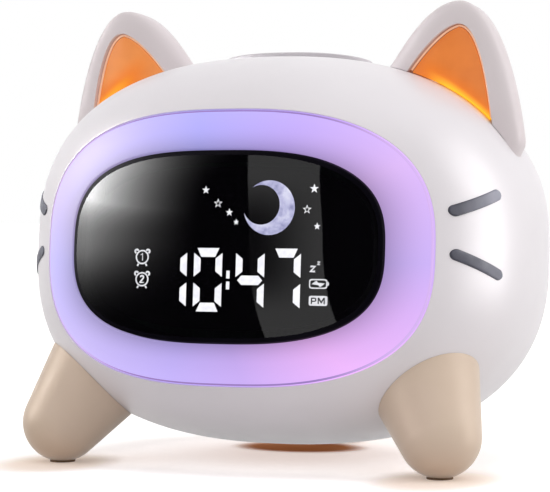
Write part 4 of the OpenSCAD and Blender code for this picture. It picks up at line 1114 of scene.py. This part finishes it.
def crescent():
    """One circle with another cut out of it; where the two meet, the horns end in points."""
    (cx, cz, r), (hx, hz, hr) = MOON, MOON_CUT
    gap = math.hypot(cx - hx, cz - hz)
    toward = math.atan2(hz - cz, hx - cx)
    spread = math.acos((r * r + gap * gap - hr * hr) / (2 * r * gap))
    outer = arc(cx, cz, r, np.linspace(toward + spread, toward + 2 * math.pi - spread, 90))
    end, begin = (math.atan2(z - hz, x - hx) for x, z in (outer[-1], outer[0]))
    sweep = (end - begin) % (2 * math.pi)
    return np.concatenate([outer, arc(hx, hz, hr, np.linspace(end, end - sweep, 80)[1:-1])])


def display_graphics():
    """All that is lit, as thin plates on the film."""
    def show(name, loops, finish=icon_white):
        piece(plate(name, loops, GLYPH_Y, GLYPH_T), finish)

    show("lit_digits", segments(), segment_white)
    show("alarm_icons", [
        *shifted(alarm_icon(ONE), -24.05, -4.2), *shifted(alarm_icon(TWO), -23.95, -9.98)])
    sleep = [ribbon(ZED, 0.5)]
    show("sleep_icon", shifted(sleep, 23.5, -6.8) + shifted(sleep, 25.05, -5.35, 0.55))
    x, z = 25.07, -10.57
    show("battery_icon", [
        *(oval(shape, 0, z, 48) + (x, 0) for shape in (BATTERY, BATTERY_HOLE)),
        *shifted([BOLT], x, z), BATTERY_TIP])
    show("afternoon_icon", [oval(LABEL, 0, -14.85, 64) + (25.17, 0),
        *shifted(LETTER_P, 23.2, -15.68, 1.25), *shifted(LETTER_M, 25.05, -15.68, 1.25)])
    show("moon", [crescent()], moon_silver)
    show("stars", [star(-6.55, 13.27, 1.1), star(0.18, 7.48, 1.05), star(2.16, 5.01, 0.85),
                   star(23.33, 13.56, 1.25), star(24.37, 3.99, 0.95)], segment_white)
    for i, (x, z) in enumerate(((-3.02, 9.83), (21.51, 8.28))):
        show(f"open_star_{i}", [star(x, z, 1.25), star(x, z, 0.8)], segment_white)


case_front()
case_rear()
light_ring()
display_window()
snooze_bar()
ears()
legs()
rear_foot()
whiskers()
display_graphics()

# ---- The frame's own solids ----

for finish, names in (
    (panel_white, ("back_panel",)),
    (rim_black, ("lens_bezel",)),
    (inner_black, ("battery_cradle", "usb_tongue", "power_slider", "speaker_gasket")),
    (display_mask, ("display_film",)),
    (inner_white, ("ring_reflector", "display_block", "face_frame", "snooze_bracket")),
    (guide_clear, ("digit_guides",)),
    (board_green, ("face_board", "main_board", "snooze_board", "key_board", "left_ear_lamp",
                   "right_ear_lamp")),
    (lamp_yellow, ("ring_lamps",)),
    (chip_black, ("main_board_parts", "snooze_plunger", "set_plunger", "alarm_plunger",
                  "down_plunger", "up_plunger")),
    (steel, ("frame_screws", "board_screws", "ear_screws", "leg_washers", "leg_screws", "snooze_screws",
             "usb_shell", "power_switch", "cradle_screws", "case_screws", "panel_screws")),
    (pad_rubber, ("foot_pads",)),
    (button_grey, ("set_button", "alarm_button", "down_button", "up_button", "snooze_switch",
                   "key_switches")),
    (cell_blue, ("battery_cell",)),
    (speaker_paper, ("speaker",)),
    (lead_red, ("leads",)),
    (ribbon_grey, ("ribbon_cable",)),
):
    for name in names:
        for place in cad[name].material_slots:
            place.material = finish.material

# ---- Floor, backdrop and light ----

# Ovals of painted shadow on the floor, where the object shades it most, in metres: middle, then half width
# and depth
BELLY_SHADOW_OVAL = ((-0.006, 0.021), (0.022, 0.016))
FOOT_SHADOW_OVAL = ((0.0534, -0.04), (0.019, 0.028))


class Ground(Finish):
    """The pale floor: white where light falls on it, with painted warm shadow where the object shades it.
    """

    def __init__(self, name):
        super().__init__(name, (225, 223, 221), 0.9)
        self.set("Specular IOR Level", 0.0)
        # Painted shade: the camera-only glow that whitens the floor dips to warm greys and browns where the
        # floor lies close under the object
        near = self.add("ShaderNodeAmbientOcclusion", {"samples": 12}, {"Distance": 0.02}, out=1)
        shaded = self.ramp(near, [
            (0.0, (0.62, 0.5, 0.45)), (0.15, (0.69, 0.61, 0.58)), (0.45, (0.62, 0.58, 0.57)),
            (0.62, (0.44, 0.4, 0.39)), (0.85, (0.52, 0.5, 0.49)), (1.0, (0.6, 0.58, 0.58))])
        # Painted shadow in the ovals under the belly and round the front feet, in both the glow and the
        # base colour
        painted_belly_shadow = self.span(self.spread(self.axis("X"), BELLY_SHADOW_OVAL), 1.0, 0.35)
        near_foot = self.span(self.spread(abs(self.axis("X")), FOOT_SHADOW_OVAL), 1.0, 0.1)
        glow_colour = self.blend(
            painted_belly_shadow, self.blend(near_foot, shaded, (0.3, 0.26, 0.23)), (0.1, 0.02, 0.0))
        floor_with_foot_shadow = self.blend(near_foot, linear((226, 224, 222)), linear((222, 208, 196)))
        self.set("Base Color", self.blend(painted_belly_shadow, floor_with_foot_shadow, linear((206, 160, 126))))
        glow = self.tree.nodes.new("ShaderNodeEmission")
        both = self.tree.nodes.new("ShaderNodeAddShader")
        self.feed(glow.inputs["Color"], glow_colour)
        self.feed(glow.inputs["Strength"], self.ray("Is Camera Ray"))
        self.tree.links.new(self.shader.outputs[0], both.inputs[0])
        self.tree.links.new(glow.outputs[0], both.inputs[1])
        self.tree.links.new(both.outputs[0], self.tree.nodes["Material Output"].inputs[0])

    def spread(self, x, oval_on_floor):
        """0 in the middle of an oval on the floor, and 1 at its edge."""
        (middle_x, middle_y), (wide, deep) = oval_on_floor
        return ((x - middle_x) / wide) ** 2 + ((self.axis("Y") - middle_y) / deep) ** 2


floor_pale = Ground("floor_pale")
floor = mesh_object("floor", [(-6, -6, 0), (6, -6, 0), (6, 6, 0), (-6, 6, 0)], [(0, 1, 2, 3)])
floor.data.materials.append(floor_pale.material)


def soft_light(name, where, size, power):
    """A rectangle of white light that faces the object's middle."""
    data = bpy.data.lights.new(name, "AREA")
    data.shape, data.size, data.size_y, data.energy = "RECTANGLE", *size, power
    made = linked(name, data)
    made.location = where
    made.rotation_euler = (Vector((0, 0, 0.055)) - Vector(where)).to_track_quat("-Z", "Y").to_euler()


class Sky(Finish):
    """The studio round the object, as the world's background."""

    def __init__(self, name):
        self.material = bpy.data.worlds.new(name)
        self.material.use_nodes = True
        self.tree = self.material.node_tree
        self.shader = self.tree.nodes["Background"]
        self.set("Color", (1.0, 1.0, 1.0))


studio = Sky("studio")
bpy.context.scene.world = studio.material

# Every way into the sky: its own parts, its place on a wall in front, and its turn from the front
split = studio.add("ShaderNodeSeparateXYZ", inputs={0: studio.add("ShaderNodeTexCoord", out=0)}).socket.node
sky_x, sky_y, sky_z = (Value(studio, split.outputs[i]) for i in range(3))
ahead = (0 - sky_y).at_least(0.02)
wall_x, wall_z = sky_x / ahead, sky_z / ahead
turn = sky_x.angle(0 - sky_y)


def over_turn(low, high, smooth=True):
    """Rises from one turn to another, in degrees towards the right."""
    return studio.span(turn, math.radians(low), math.radians(high), smooth=smooth)


# What shiny faces mirror in front: a panel with bowed edges, dimmer along a level line on the left
PANEL_BLUR = 0.003
panel_left = -0.276 - 0.098 * wall_z - 0.086 * wall_z * wall_z
panel_right = 0.16 - 0.184 * wall_z + 0.144 * wall_z * wall_z
panel = (studio.span(wall_x, panel_left - PANEL_BLUR, panel_left + PANEL_BLUR, smooth=False)
    * studio.span(wall_x, panel_right + PANEL_BLUR, panel_right - PANEL_BLUR, smooth=False))
dimming = studio.span(abs(wall_z - 0.1), 0.4, 0.02) * studio.span(wall_x, 0.16, -0.28)

# And at the sides: a bright wash on the left, a strip on the right that is brightest low down
LEFT_POWER, RIGHT_POWER, RIGHT_LOW_POWER = 21.0, 5.5, 8.0
low_fade = studio.add("ShaderNodeMath", {"operation": "EXPONENT", "use_clamp": True}, {
    0: (sky_z - 0.2) * 13})
left_wash = (over_turn(-25, -70, smooth=False) ** 2.0 * over_turn(-95, -85)
    * low_fade * studio.span(sky_z, 0.74, 0.42))
right_strip = (over_turn(84, 96) * over_turn(132, 118)
    * studio.span(sky_z, -0.25, 0.0) * studio.span(sky_z, 0.75, 0.45))
right_power = RIGHT_POWER + RIGHT_LOW_POWER * studio.span(sky_z, 0.15, -0.1)

front = 0.012 + panel * (1 - 0.93 * dimming) + left_wash * LEFT_POWER
behind = studio.span(sky_y, -0.05, 0.25)
mirror_light = front * (1 - behind) + behind + right_strip * right_power

# Dull faces get an even light with more from above and from the sides; the camera sees white
diffuse_light = 0.48 + 0.41 * sky_z.at_least(0.0) + 0.26 * abs(sky_x)
glossy = studio.ray("Is Glossy Ray")
strength = glossy * mirror_light + (1 - glossy) * diffuse_light
straight = studio.ray("Is Camera Ray").at_least(studio.ray("Is Transmission Ray"))
studio.set("Strength", straight + (1 - straight) * strength)

soft_light("top", (0.25, -0.1, 1.4), (1.1, 1.1), 1.35)
soft_light("right", (1.1, 0.3, 0.7), (0.7, 0.9), 3)
floor.visible_glossy = False
